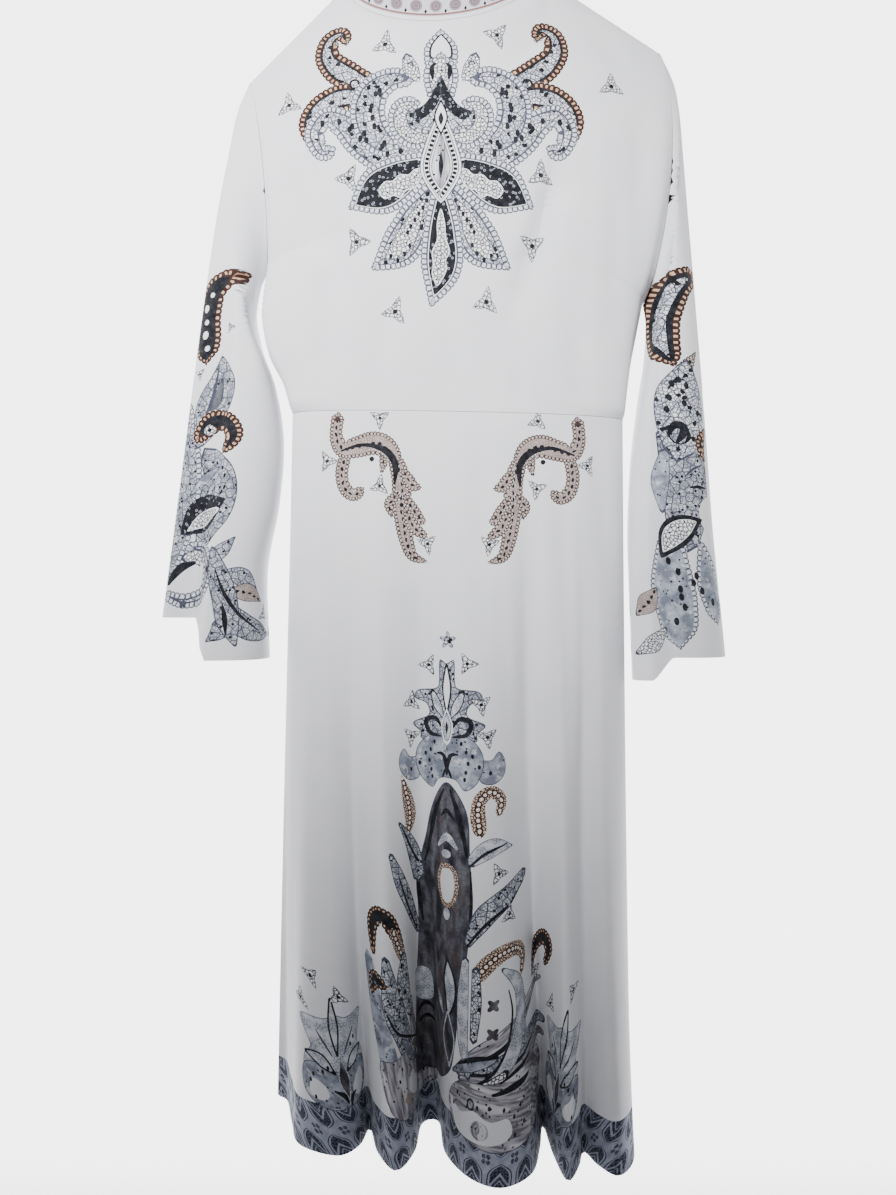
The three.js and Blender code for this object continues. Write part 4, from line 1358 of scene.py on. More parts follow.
    def _foot(self) -> list[Region]:
        """The clouded ground under the left part of the column's foot."""
        leaf = ((0, Ink.LINE), (0.9, Ink.FAN))
        return patches((
            Frond(((-140, 192), (-141, 140), (-142, 96)), (9, 13, 13), ((0, Ink.WASH),)),
            Frond(((-112, 196), (-116, 150), (-108, 104)), (4, 14, 15), DENSE_LEAF),
            Frond(((-84, 150), (-86, 120), (-74, 92)), (4, 9, 9), leaf),
            Frond(((16, 92), (50, 118), (96, 142), (146, 168)), (3, 9, 9, 2), leaf),
            Frond(((20, 90), (70, 106), (120, 118), (168, 126)), (3, 10, 10, 4), DENSE_LEAF),
            Frond(((22, 86), (74, 95), (120, 104), (170, 110)), (3, 7, 7, 3), leaf),
            Frond(((22, 96), (70, 122), (118, 150)), (0.8, 2.2, 0.8), BLACK),
            Frond(((30, 92), (80, 104), (128, 114)), (0.8, 2, 0.8), BLACK),
            Frond(((100, 158), (98, 140), (104, 122)), (3, 6, 3), ((0, Ink.WASH),)),
            Patch(
                ((-158, 92), (-130, 100), (-96, 104), (-60, 104), (-44, 84), (-52, 52), (-96, 37),
                 (-150, 43)),
                FAN_GROUND, guide=((-96, 110), (-104, 30)),
            ),
        ))

    def _fans(self) -> list[Region]:
        """The streaked fan and the clouded ground beside the column's foot."""
        fan = Patch(
            ((22, 84), (60, 90), (104, 100), (150, 96), (168, 74), (154, 46), (112, 33), (62, 29),
             (18, 38), (4, 62)),
            FAN_GROUND, guide=((10, 74), (60, 74), (120, 66), (170, 44)),
        )
        cloud = Patch(
            ((8, 64), (24, 56), (42, 62), (58, 56), (76, 58), (82, 44), (66, 36), (40, 34), (18, 40)), WHITE,
        )
        over = patches((
            Patch(((38, 44), (44, 54), (56, 52), (58, 42), (48, 37)), ((0, Ink.FAN),)),
            Patch(((-116, 74), (-104, 78), (-96, 70), (-90, 60), (-98, 50), (-112, 54), (-120, 62)), WHITE),
            Rosette(-126, 54, 8, ((0, Ink.TAUPE),), petals=5, dent=0.25),
            Frond(((66, 90), (88, 98), (116, 103)), (0.8, 2.2, 1), BLACK),
            Frond(((60, 80), (82, 84), (110, 87)), (1.4, 3.4, 1.6), BLACK),
            Rosette(38, 67, 4.5, WASH_BEAD, tall=1.3),
            Rosette(-88, 88, 4.5, WASH_BEAD, tall=1.3),
        ))
        black = drops((
            (20, 72), (14, 60), (46, 66), (58, 68), (72, 66), (84, 58), (92, 66), (98, 50), (86, 42),
            (-74, 76), (-70, 60), (-134, 78), (-126, 88), (-84, 54),
        ))
        return [*fan.regions(), *cloud.regions(), *over, *black]

    def _palmette(self) -> list[Region]:
        """A palmette that stands on the border, in mm from its own axis."""
        ground = patches((
            Patch(
                ((-38, 133), (-12, 132), (0, 136), (12, 132), (36, 135), (32, 118), (27, 102), (36, 92),
                 (38, 62), (0, 52), (-38, 62), (-38, 92), (-28, 103), (-34, 118)), MIST_LEAF,
            ),
            Patch(
                ((-40, 84), (-20, 88), (0, 80), (20, 88), (37, 84), (39, 58), (20, 44), (-20, 44),
                (-42, 58)), WASH_LEAF,
            ),
            Patch(((12, 58), (18, 70), (28, 76), (35, 66), (31, 54), (20, 50)), WHITE),
            Patch(((-36, 62), (-30, 72), (-18, 66), (-15, 56), (-24, 52), (-33, 54)), WHITE),
        ))
        lines = patches((
            Frond(((-3, 152), (-2, 124), (-1, 96)), (1.6, 5, 1.2), ((0, Ink.BLACK), (1.7, Ink.MIST))),
            Frond(((-20, 120), (-12, 107), (-6, 96)), (0.5, 1.1, 0.5), GREY),
            Frond(((20, 120), (12, 107), (6, 96)), (0.5, 1.1, 0.5), GREY),
            Frond(((-5, 78), (-20, 92), (-35, 97)), (1, 6.5, 2), BLACK_LOOP),
            Frond(((7, 78), (20, 92), (32, 98)), (1, 6.5, 2), BLACK_LOOP),
            Frond(((1, 92), (3, 72), (6, 50)), (0.8, 6, 1), ((0, Ink.MIST), (1.2, Ink.SMOKE))),
            Frond(((-9, 62), (0, 56), (4, 47)), (0.8, 2.4, 1), BLACK),
            Frond(((16, 56), (10, 52), (7, 43)), (0.8, 2.2, 1), BLACK),
        ))
        black = drops(((-29, 76), (-33, 70), (-18, 80), (-30, 54), (15, 104), (20, 110), (-12, 84)))
        return [*ground, *lines, *black]

    def _sprigs(self) -> list[Region]:
        """Small sprigs and the star between the motifs."""
        places = (
            (-68, 730, 30), (90, 730, 200), (-68, 662, 80), (90, 662, 20), (-122, 687, 0), (142, 687, 60),
            (-20, 605, 40), (42, 605, 140), (-20, 484, 60), (21, 486, 120), (-39, 447, 80), (34, 446, 40),
            (-41, 412, 20), (40, 414, 160), (54, 282, 0), (68, 242, 90), (133, 172, 50),
            (-232, 172, 270), (-258, 148, 60), (-214, 153, 200), (178, 150, 90), (212, 168, 30),
        )
        star = Rosette(1, 509, 9, ((0, Ink.LINE), (1, Ink.LACE)), petals=5, dent=0.55)
        return [*patches((star,)), *[region for place in places for region in sprig(*place, 8)]]


@dataclass
class BodicePrint:
    """The medallion on the chest, in mm from its own centre."""

    centre: Spot = (-7, -320)

    def regions(self) -> list[Region]:
        """Every patch of it, lowest layer first."""
        made = both_sides(self._wings() + self._leaves()) + self._middle()
        return placed(made, *self.centre) + self._sprigs()

    def _wings(self) -> list[Region]:
        """The scrolls of the left wing."""
        made = patches((
            Frond(((-68, 82), (-86, 87), (-103, 98), (-115, 115), (-113, 134), (-101, 141), (-96, 128)),
                  (10, 15, 16.5, 14, 12, 10, 6), BROWN_SCROLL, True),
            Frond(((-74, 66), (-100, 66), (-120, 58), (-131, 40), (-130, 18)),
                  (12, 16, 14, 12, 4), BROWN_SCROLL),
            Rosette(-86, 80, 6, ((0, Ink.BLACK), (2.4, Ink.LACE))),
            Frond(
                ((-14, 4), (-46, 7), (-76, 22), (-98, 40), (-115, 46), (-126, 30), (-118, 11), (-106, 15)),
                (10, 19, 22, 19, 14, 11, 10, 7), PALE_SCROLL, True,
            ),
            Frond(((-32, 85), (-50, 85), (-67, 73), (-73, 50), (-65, 27), (-44, 12)),
                  (9, 14, 17, 18, 17, 12), PALE_SCROLL, True),
            Frond(((-4, 28), (-25, 24), (-39, 36), (-38, 54), (-22, 60)),
                  (7, 12, 13, 12, 7), PALE_CURL, True),
            Frond(((-34, 108), (-30, 95), (-22, 82)), (5, 8, 3), FINE_LEAF, True),
            Frond(((-34, 101), (-29, 102), (-28, 97)), (0.5, 0.9, 0.5), GREY),
        ))
        blots = (
            (-101, 41), (-91, 33), (-88, 36), (-80, 24), (-76, 29), (-74, 22), (-58, 16), (-56, 19),
            (-53, 8), (-40, 11), (-61, 73), (-65, 70), (-69, 57), (-70, 53), (-68, 45), (-66, 36),
            (-118, 40),
        )
        return made + drops(blots, 2.3)

    def _leaves(self) -> list[Region]:
        """The two leaves on the left of the medallion's foot."""
        return patches((
            Frond(((-9, -24), (-25, -54), (-40, -82), (-71, -106)), (7, 18, 20, 0.5), PALE_LEAF),
            Frond(((-12, 2), (-34, -12), (-58, -26), (-93, -45)), (11, 23, 24, 0.5), BLACK_LEAF),
            Patch(
                ((-16, -6), (-26, -7), (-32, -12), (-41, -12), (-48, -18), (-56, -19), (-62, -28),
                 (-56, -36), (-47, -33), (-40, -35), (-34, -28), (-25, -25), (-20, -16)), LEAF_HEART,
            ),
        )) + drops(
            ((-14, -38), (-18, -45), (-22, -51), (-26, -57), (-30, -63), (-33, -69), (-50, -92), (-43, -96),
             (-36, -90), (-31, -82)), 1.7,
        )

    def _middle(self) -> list[Region]:
        """The finial, the head, the spade, the middle leaf and the almond over it."""
        finial = ((0, Ink.PALE_TEETH), (5.6, Ink.BLACK), (7.6, Ink.PLAIN))
        almond = (
            (0, Ink.LINE), (0.9, Ink.PLAIN), (3, Ink.LINE), (3.9, Ink.DASHES), (9, Ink.BLACK),
            (9.9, Ink.PLAIN), (11.4, Ink.LINE), (12.2, Ink.FAN),
        )
        return patches((
            Frond(((0, -28), (1, -70), (0, -106), (-11, -144)), (10, 19, 20, 0.5), BLACK_LEAF),
            Patch(
                ((0, -46), (-4, -60), (-4, -76), (-9, -88), (-8, -100), (-9, -110), (-4, -121), (2, -114),
                 (6, -104), (5, -96), (9, -88), (5, -74), (4, -60)), LEAF_HEART,
            ),
            Frond(((0, 100), (0, 117), (0, 137)), (17, 16, 0.5), finial),
            Frond(((0, 66), (0, 86), (0, 108)), (14, 18, 13), PALE_CURL, True),
            Patch(((0, 88), (-7, 68), (-17, 56), (-33, 50), (-32, 38), (-14, 31), (0, 31)), LACE_LEAF, True),
            Frond(((-0.5, 85), (-5, 67), (-13, 54), (-27, 45)), (1.5, 4.6, 5.6, 6), BANDED_LEAF, True),
            Frond(((0.5, 85), (5, 67), (13, 54), (27, 45)), (1.5, 4.6, 5.6, 6), BANDED_LEAF, True),
            Frond(((-5, 100), (-9, 96), (-8, 84)), (1, 2.6, 1), BLACK),
            Frond(((5, 100), (9, 96), (8, 84)), (1, 2.6, 1), BLACK),
            Frond(((0, 50), (0, 24), (0, 0), (0, -39)), (3, 15, 20.5, 4), almond, True),
            Frond(((0, 62), (0, 44), (0, 28)), (1, 7, 1), ((0, Ink.BLACK), (1.6, Ink.PLAIN))),
            Frond(((0, 50), (0, 43), (0, 37)), (0.4, 2.6, 0.4), BLACK),
            Frond(((0, 10), (0, -2), (0, -16)), (0.4, 2.4, 0.4), BLACK),
        ))

    def _sprigs(self) -> list[Region]:
        """Small sprigs round the medallion."""
        places = (
            (-63, -197, 80), (49, -189, 50), (-160, -256, 100), (164, -238, 90), (-99, -335, 60),
            (92, -332, 90), (-91, -397, 0), (84, -400, 30), (-53, -466, 70), (38, -457, 80),
        )
        return [region for place in places for region in sprig(*place)]


@dataclass
class Bodice:
    """Both halves of the bodice, stretched between the waist, the armholes and the neckline."""

    skirt: Skirt
    neck_left: Spot = (-105, -115)
    neck_right: Spot = (92, -102)
    neck_drop: dict = by_side(63, 24)
    neck_depth: dict = by_side(34, 30)
    tips: dict = by_hand((-206, -217), (218, -185))
    unders: dict = by_hand((-188, -414), (202, -447))
    bows: dict = by_hand(10, 16)
    armhole_depth: float = 28
    armhole_point: float = 1.5
    side_seams: dict = by_hand(
        ((0, -161), (0.2, -170), (0.42, -186), (0.7, -193), (1, -188)), ((0, 181), (0.4, 188), (1, 202)),
    )
    underarm: float = 0.42
    depths: tuple = ((0, 38, 34), (0.3, 42, 37), (0.6, 47, 40), (0.85, 46, 40), (1, 34, 30))
    shoulder_fall: float = 0.6
    shoulder_round: float = 7
    shoulder_turn: float = 0.06
    closing_power: float = 1.5
    crease_fade: float = 0.2
    shoulder_steps: int = 18
    neck_steps: int = 48
    armhole_steps: int = 43
    seam_steps: int = 24
    flat_share: float = 1.09  # the flat width over the distance between the underarm points
    large_creases: tuple[Crease, ...] = crease_rows(
        (-178, -300, -112, -430, 17, 6), (122, -292, 80, -412, 16, 5), (108, -350, 46, -528, 18, 5),
        (196, -230, 190, -420, 14, 7), (-192, -250, -170, -350, 14, 5),
    )
    creases: dict = by_side(
        crease_rows(
            (-150, -300, -104, -428, 9, -1.6), (98, -320, 60, -430, 9, -1.4),
            (-60, -430, -70, -560, 12, 1.5), (6, -470, 0, -562, 14, 1.7), (-120, -440, -126, -560, 11, 1.9),
            (128, -450, 132, -566, 12, 2.2), (70, -500, 74, -566, 9, 1.3), (170, -300, 166, -480, 10, 2.4),
            (-150, -190, -178, -250, 11, 1.5), (150, -170, 186, -230, 12, 1.8),
            (-120, -160, -60, -230, 16, 1.1), (110, -150, 60, -226, 16, 1.2),
        ),
        crease_rows(
            (-140, -240, -90, -390, 15, 3.2), (150, -230, 96, -400, 16, 3.0),
            (-40, -420, -52, -560, 12, 1.8), (30, -460, 36, -562, 12, 1.6),
            (-110, -470, -116, -562, 10, 1.8), (112, -450, 122, -566, 11, 2.0), (0, -170, 4, -330, 18, 1.4),
        ),
    )

    def neckline(self, turn: Array, side: Side) -> Array:
        """Points of the neckline; turn runs from 0 at its right point to pi at its left one."""
        out = np.sin(turn)
        across = (1 - np.cos(turn)) / 2
        return np.column_stack([
            between(self.neck_right[0], self.neck_left[0], across),
            side.value * self.neck_depth[side] * out,
            between(self.neck_right[1], self.neck_left[1], across) - self.neck_drop[side] * out,
        ])

    def armhole(self, hand: Hand, turn: Array, side: Side) -> Array:
        """Points of an armhole's edge; turn runs from 0 at the shoulder tip to pi underneath."""
        tip, under = self.tips[hand], self.unders[hand]
        down = (1 - np.cos(turn)) / 2
        out = np.sin(turn) ** self.armhole_point
        return np.column_stack([
            between(tip[0], under[0], down) + self.bows[hand] * out,
            side.value * self.armhole_depth * out,
            between(tip[1], under[1], down),
        ])

    def edge(self, hand: Hand, up: Array, side: Side) -> Array:
        """The edge of a panel, up the side seam and then round the armhole."""
        risen = np.clip(up / self.underarm, 0, 1)
        x = read(self.side_seams[hand], risen)
        waist = self.skirt.waist_z - self.skirt.waist_fall * x
        seam = np.column_stack([x, np.zeros(len(up)), between(waist[:, 0], self.unders[hand][1], risen)])
        armhole = self.armhole(hand, np.pi * (1 - share(up, self.underarm, 1)), side)
        return np.where((up > self.underarm)[:, None], armhole, seam)

    def top(self, side: Side) -> Array:
        """The top of a panel: left shoulder seam, neckline, right shoulder seam."""
        part = np.linspace(0, 1, self.shoulder_steps + 1)[:, None]
        even = np.linspace(0, 1, self.neck_steps + 1)
        turn = (np.pi * even + np.arccos(1 - 2 * even)) / 2
        place = {hand: np.array([self.tips[hand][0], 0, self.tips[hand][1]]) for hand in Hand}
        necks = {Hand.LEFT: self.neck_left, Hand.RIGHT: self.neck_right}
        neck = {hand: np.array([necks[hand][0], 0, necks[hand][1]]) for hand in Hand}
        return np.concatenate([
            between(place[Hand.LEFT], neck[Hand.LEFT], part[:-1]),
            self.neckline(turn[::-1], side),
            between(neck[Hand.RIGHT], place[Hand.RIGHT], part[1:]),
        ])

    def panel(self, side: Side) -> Panel:
        """One half of the bodice."""
        top = self.top(side)
        first, last = top[0], top[-1]
        parts = (top[:, 0] - first[0]) / (last[0] - first[0])
        skirt = self.skirt
        oval = half_oval(*skirt.waist, skirt.waist_depth[side], skirt.waist_square, side)
        waist = points_along(oval, parts)
        bottom = np.column_stack([waist, skirt.waist_z - skirt.waist_fall * waist[:, 0]])
        up = np.concatenate([
            np.linspace(1, self.underarm, self.armhole_steps + 1),
            np.linspace(self.underarm, 0, self.seam_steps + 1)[1:],
        ])
        left = self.edge(Hand.LEFT, up, side)[:, None]
        right = self.edge(Hand.RIGHT, up, side)[:, None]
        part, rise = parts[None, :, None], up[:, None, None]
        low, high = between(bottom[0], bottom[-1], part), between(first, last, part)
        sides = between(left, right, part)
        spread = sides + between(bottom[None], top[None], rise) - between(low, high, rise)
        x, z = spread[..., 0], spread[..., 2]
        middle = side.value * read(self.depths, up)[:, [0 if side is Side.FRONT else 1]]
        risen = share(up, self.underarm, 1)
        fallen = ((1 + np.cos(np.pi * risen)) / 2)[:, None]
        closing = (1 - share(fallen, 0, self.shoulder_fall)) ** self.closing_power
        dent = sum(crease.height(np.stack([x, z], -1)) for crease in self.large_creases)
        dent = side.value * dent * np.sin(np.pi * up)[:, None]
        rounding = side.value * self.shoulder_round * np.sqrt(share(fallen, 0, self.shoulder_turn)) * closing
        body = between(middle + dent, top[None, :, 1], closing) + rounding
        bulge = (1 - np.abs(2 * parts - 1) ** skirt.waist_square) ** (1 / skirt.waist_square)
        y = between(sides[..., 1], body, bulge[None])
        y[0], y[-1] = top[:, 1], bottom[:, 1]
        places = np.stack([x, y, z], -1)
        sign = -1 if side is Side.BACK else 1
        panel = Panel(places, np.stack([sign * x, z], -1), side is Side.BACK)
        inside = np.minimum(np.sin(np.pi * up)[:, None], np.sin(np.pi * parts)[None])
        panel.creased(self.creases[side], ease(inside, 0, self.crease_fade))
        panel.places[-1, :, 2] += skirt.seam
        return panel

    def cloth(self, side: Side) -> Cloth:
        """One half of the bodice, printed."""
        panel = self.panel(side)
        width = (self.unders[Hand.RIGHT][0] - self.unders[Hand.LEFT][0]) * self.flat_share * MM
        height = (self.neck_right[1] - self.skirt.waist_z) * MM
        area = min(surface_area(panel.places), width * height)
        trims = ("neck_binding_cloth",) if side is Side.FRONT else ()
        name = f"bodice_{side.name.lower()}"
        return Cloth(name, panel, BodicePrint().regions(), (width, height), area, trims=trims)


@dataclass(frozen=True)
class SleevePrint:
    """The print down a sleeve's outer edge, in mm from that edge and from the shoulder."""

    hand: Hand

    def regions(self) -> list[Region]:
        """Every patch of it, lowest layer first, on the front and on the back."""
        drawn = self._left() if self.hand is Hand.LEFT else self._right()
        return both_sides(drawn)

    @staticmethod
    def _left() -> list[Region]:
        """The scrolls, the black leaf and the spray at the cuff."""
        pearls = (
            (26, -227, 2.6, 1), (20, -240, 3.2, 1.3), (22, -254, 2.8, 1), (22, -267, 3.6, 1.2),
            (26, -281, 3, 1),
        )
        made = patches((
            Frond(((44, -210), (26, -224), (19, -250), (23, -274), (26, -294)),
                  (9, 15, 18, 17, 12), BROWN_CURL, True),
            *(Rosette(x, y, radius, WHITE, tall=tall) for x, y, radius, tall in pearls),
            Frond(((8, -340), (16, -384), (20, -430), (16, -476), (8, -516)),
                  (8, 14, 16, 14, 8), ((0, Ink.PALE_TEETH), (6, Ink.DENSE))),
            Frond(((42, -290), (45, -318), (37, -346), (27, -378)), (1, 16, 18, 6), DENSE_LEAF),
            Frond(((44, -312), (42, -330), (34, -352)), (1, 4.4, 2), ((0, Ink.SMOKE),)),
            Frond(((40, -300), (37, -330), (28, -364)), (0.5, 1.8, 1), GREY),
            Frond(((26, -372), (40, -356), (57, -358), (66, -373), (57, -388)),
                  (8, 12, 10, 9, 6), BROWN_CURL, True),
            Rosette(37, -364, 5.5, ((0, Ink.FINE_LACE), (3.4, Ink.BLACK))),
            Frond(((38, -388), (54, -412), (56, -442), (46, -480)), (9, 20, 22, 11), DENSE_LEAF),
            Frond(((24, -430), (40, -412), (54, -402)), (1, 5, 1), WASH_LEAF),
            Frond(((20, -468), (38, -452), (54, -443), (68, -436)), (4, 17, 17, 2), BANDED_LEAF),
            Frond(((26, -466), (42, -455), (62, -446)), (1, 8, 3), LEAF_HEART),
            Frond(((64, -500), (76, -488), (86, -474)), (4, 8, 1), DENSE_LEAF),
            Frond(((30, -484), (48, -486), (62, -504), (58, -528), (34, -538), (10, -532)),
                  (7, 9, 10, 9, 8, 6), PALE_SCROLL),
            Frond(((10, -520), (24, -504), (42, -498)), (3, 5, 1), BLACK),
            Frond(((26, -494), (40, -492), (44, -502)), (5, 6, 4), FINE_LEAF, True),
            Frond(((82, -510), (98, -512), (122, -526)), (3, 9, 1), DENSE_LEAF),
            Frond(((90, -530), (110, -529), (132, -538)), (3, 9, 1), TAUPE_BLADE),
            Frond(((94, -542), (114, -562), (138, -570), (158, -572)), (4, 11, 10, 1), DENSE_LEAF),
            Frond(((96, -548), (92, -566), (80, -578)), (5, 11, 1), DENSE_LEAF),
            Frond(((66, -486), (76, -508), (88, -532), (98, -558), (110, -582)),
                  (4, 10, 12, 11, 2), DENSE_LEAF),
            Frond(((74, -506), (88, -530), (108, -552), (134, -568)), (0.5, 1.6, 1.4, 0.5), BLACK),
            Frond(((88, -540), (94, -556), (98, -572)), (0.5, 2.6, 0.5), BLACK),
            Rosette(32, -541, 5, GREY, petals=5),
        ))
        black = drops(((50, -398), (60, -404), (64, -412), (52, -424), (66, -424), (52, -478), (60, -476)))
        return [
            *made, *black,
            *sprig(140, -551, 90, 7), *sprig(20, -306, 40, 5), *sprig(48, -262, 0, 4),
        ]

    @staticmethod
    def _right() -> list[Region]:
        """The scrolls, the swirled disc, the black leaf and the lobes at the cuff."""
        made = patches((
            Frond(((-24, -240), (-44, -254), (-58, -282), (-60, -308), (-54, -332)),
                  (11, 15, 16, 15, 9), CROWN_SCROLL, True),
            Frond(((-62, -352), (-48, -340), (-30, -318)), (3, 7, 1), TAUPE_LEAF),
            Frond(((-60, -400), (-58, -442), (-62, -478), (-70, -512)), (19, 24, 23, 15), DENSE_LEAF),
            Frond(((-44, -334), (-50, -362), (-54, -390), (-62, -420)), (7, 22, 23, 14), LACE_LEAF),
            Patch(((-44, -470), (-32, -466), (-24, -476), (-30, -494), (-44, -500), (-50, -484)), WHITE),
            Frond(((-74, -420), (-84, -450), (-86, -480)), (4, 9, 3), WASH_LEAF),
            Rosette(-59, -402, 10.5, ((0, Ink.BLACK), (1.6, Ink.DENSE)), tall=1.15),
            Frond(((-68, -404), (-62, -394), (-54, -396), (-56, -404), (-63, -412)),
                  (0.8, 3.4, 4, 3.4, 0.8), BLACK),
            Frond(((-51, -398), (-50, -406), (-55, -412)), (0.6, 2.2, 0.6), BLACK),
            Frond(((-26, -396), (-38, -412), (-34, -430)), (3, 7, 2), BROWN_CURL),
            Frond(((-56, -457), (-48, -456), (-38, -457)), (0.6, 1.7, 0.8), BLACK),
            Frond(((-60, -446), (-50, -438), (-40, -434)), (0.5, 1.3, 0.5), GREY),
            Frond(((-52, -514), (-46, -552), (-42, -590)), (5, 17, 12), WASH_LOBE, True),
            Frond(((-84, -512), (-90, -560), (-88, -612)), (15, 26, 20), WASH_LOBE, True),
            Frond(((-94, -524), (-80, -505), (-64, -495), (-48, -489)), (4, 14, 13, 1), BLACK_CROWN),
            Frond(((-110, -558), (-122, -572), (-136, -584)), (3, 10, 2), TAUPE_BLADE),
            Frond(((-102, -598), (-122, -612), (-146, -624)), (3, 9, 2), FINE_LEAF),
        ))
        upper = ((-52, -348), (-58, -352), (-46, -354), (-62, -366), (-50, -372), (-66, -378))
        lower = (
            (-80, -541), (-62, -545), (-66, -552), (-58, -560), (-80, -558), (-78, -576), (-88, -590),
            (-46, -571), (-88, -530), (-80, -566),
        )
        return [*made, *drops(upper, 2.4), *drops(lower, 2.6)]


@dataclass
class Sleeve:
    """A bell sleeve, as rings from the armhole to the cuff, with one long fold down it."""

    hand: Hand
    bodice: Bodice
    tables: dict = by_hand(
        (
            (0, -206, -217, -188, -414, 28, 28),
            (0.08, -219, -249, -197, -438, 30, 29),
            (0.2, -231, -312, -200, -478, 32, 31),
            (0.32, -243, -386, -180, -532, 34, 33),
            (0.46, -255, -468, -171, -590, 35, 35),
            (0.62, -268, -562, -176, -656, 37, 38),
            (0.78, -281, -660, -188, -722, 40, 41),
            (1, -296, -772, -186, -814, 46, 44),
        ),
        (
            (0, 218, -185, 202, -447, 28, 28),
            (0.08, 231, -217, 205, -468, 30, 29),
            (0.2, 241, -290, 203, -506, 32, 31),
            (0.32, 249, -378, 197, -552, 34, 33),
            (0.46, 257, -478, 190, -612, 36, 35),
            (0.62, 266, -590, 187, -684, 39, 38),
            (0.78, 273, -690, 189, -756, 43, 41),
            (1, 284, -811, 192, -837, 48, 44),
        ),
    )
    folds: dict = by_hand((0.42, 0.07, 0.42, 1.08), (0.74, 0.07, 1.08, 0.3))
    square: float = 2.5
    seam: float = 0.4
    settling: float = 0.3  # the share of the length over which the armhole turns into a sleeve
    folding: Spot = (0.12, 0.9)  # the shares of the length between which the fold opens
    back_fold: float = 0.3  # how much of the fold shows on the back
    top_fade: float = 0.1
    seam_fade: float = 0.12
    rings: int = 96
    columns: int = 88
    creases: dict = by_hand(
        crease_rows(
            (20, -60, 34, -260, 9, 1.8), (40, -240, 60, -480, 8, 1.9), (-30, -90, -40, -330, 11, 2.4),
            (-66, -200, -72, -470, 10, 2.2), (-14, -380, -22, -540, 8, 1.5), (74, -130, 66, -300, 8, 1.5),
        ),
        crease_rows(
            (-22, -50, -30, -280, 9, 1.9), (-52, -150, -60, -420, 9, 2.1), (34, -80, 42, -340, 11, 2.3),
            (70, -220, 76, -500, 10, 2.1), (-20, -360, -26, -560, 8, 1.6), (16, -420, 20, -590, 8, 1.5),
        ),
    )

    def panel(self) -> Panel:
        """The sleeve, cut open along its seam under the arm."""
        at = np.linspace(0, 1, self.rings + 1)
        rows = read(self.tables[self.hand], at)[:, :, None]
        out_x, out_z, in_x, in_z, front, back = (rows[:, i] for i in range(6))
        turn = np.linspace(-np.pi, np.pi, self.columns + 1)[None]
        settled = ease(at, 0, self.settling)[:, None]
        folded = ease(at, *self.folding)[:, None]
        out = power(np.sin(turn), between(self.bodice.armhole_point, 2 / self.square, settled))
        from_outer = (1 - power(np.cos(turn), between(1, 2 / self.square, settled))) / 2
        place, width, outer_part, inner_part = self.folds[self.hand]
        past = ease(from_outer, place - width, place + width)
        opened = folded * np.where(out > 0, 1, self.back_fold)
        stands = between(1, between(outer_part, inner_part, past), opened)
        sideways = self.bodice.bows[self.hand] * (1 - settled) * np.abs(out)
        x = between(out_x, in_x, from_outer) + sideways + self.hand.value * self.seam
        y = -out * stands * np.where(out > 0, front, back)
        z = between(out_z, in_z, between(from_outer, past, folded**2))
        places = np.stack([x, y, z], -1)
        sign = -1 if self.hand is Hand.RIGHT else 1
        middle = self.columns // 2
        widths = np.array([lengths_along(row[:, :2]) for row in places])
        across = sign * (widths - widths[:, [middle]])
        panel = Panel(places, np.stack([across, z - z[0, middle]], -1), self.hand is Hand.RIGHT)
        seam_side = ease(1 - np.abs(turn) / np.pi, 0, self.seam_fade)
        return panel.creased(self.creases[self.hand], ease(at, 0, self.top_fade)[:, None] * seam_side)

    def cloth(self) -> Cloth:
        """The sleeve, printed."""
        panel = self.panel()
        cuff = lengths_along(panel.places[-1])[-1] * MM
        length = lengths_along(panel.places[:, self.columns // 2])[-1] * MM
        area = min(surface_area(panel.places), cuff * length)
        regions = SleevePrint(self.hand).regions()
        return Cloth(f"sleeve_{self.hand.name.lower()}", panel, regions, (cuff, length), area)


@dataclass
class NeckBand:
    """A band that stands on the neckline all round."""

    node: str
    bodice: Bodice
    low: float
    high: float
    base: Ink
    slot: str
    is_trim: bool = False
    lean: float = 0.14
    bulge: float = 0
    rows: int = 8
    columns: int = 96

    def panel(self) -> Panel:
        """The band, cut open at the left shoulder."""
        turn = np.linspace(0, np.pi, self.columns // 2 + 1)
        ring = np.concatenate([
            self.bodice.neckline(turn[::-1], Side.FRONT), self.bodice.neckline(turn, Side.BACK)[1:],
        ])
        middle = np.array([(self.bodice.neck_left[0] + self.bodice.neck_right[0]) / 2, 0, 0])
        inwards = middle - ring
        inwards[:, 2] = 0
        inwards /= np.linalg.norm(inwards, axis=1)[:, None]
        height = np.linspace(self.high, self.low, self.rows + 1)
        part = share(height, self.low, self.high)
        out = self.bulge * 4 * part * (1 - part) - self.lean * height
        places = ring[None] - inwards[None] * out[:, None, None]
        places[:, :, 2] += height[:, None]
        along = lengths_along(ring)
        flat = np.stack(np.broadcast_arrays(along[None], (height - self.low)[:, None]), -1)
        return Panel(places, flat.astype(float))

    def cloth(self) -> Cloth:
        """The band as a piece of cloth."""
        panel = self.panel()
        length = lengths_along(panel.places[-1])[-1] * MM
        height = (self.high - self.low) * MM
        size = None if self.is_trim else (length, height)
        return Cloth(self.node, panel, [], size, slot=self.slot, base=self.base)


@dataclass(frozen=True)
class Hanger:
    """The wooden hanger and its wire hook, which keep their solids."""

    nodes: tuple[str, str] = ("hanger_body", "hanger_hook")

    def dress(self) -> None:
        """Gives both their finishes."""
        for name, finish in zip(self.nodes, (Wood(), Wire())):
            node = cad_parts[name]
            material = finish.material()
            for slot in node.material_slots:
                slot.material = material
            log.info("%s: %s", name, material.name)


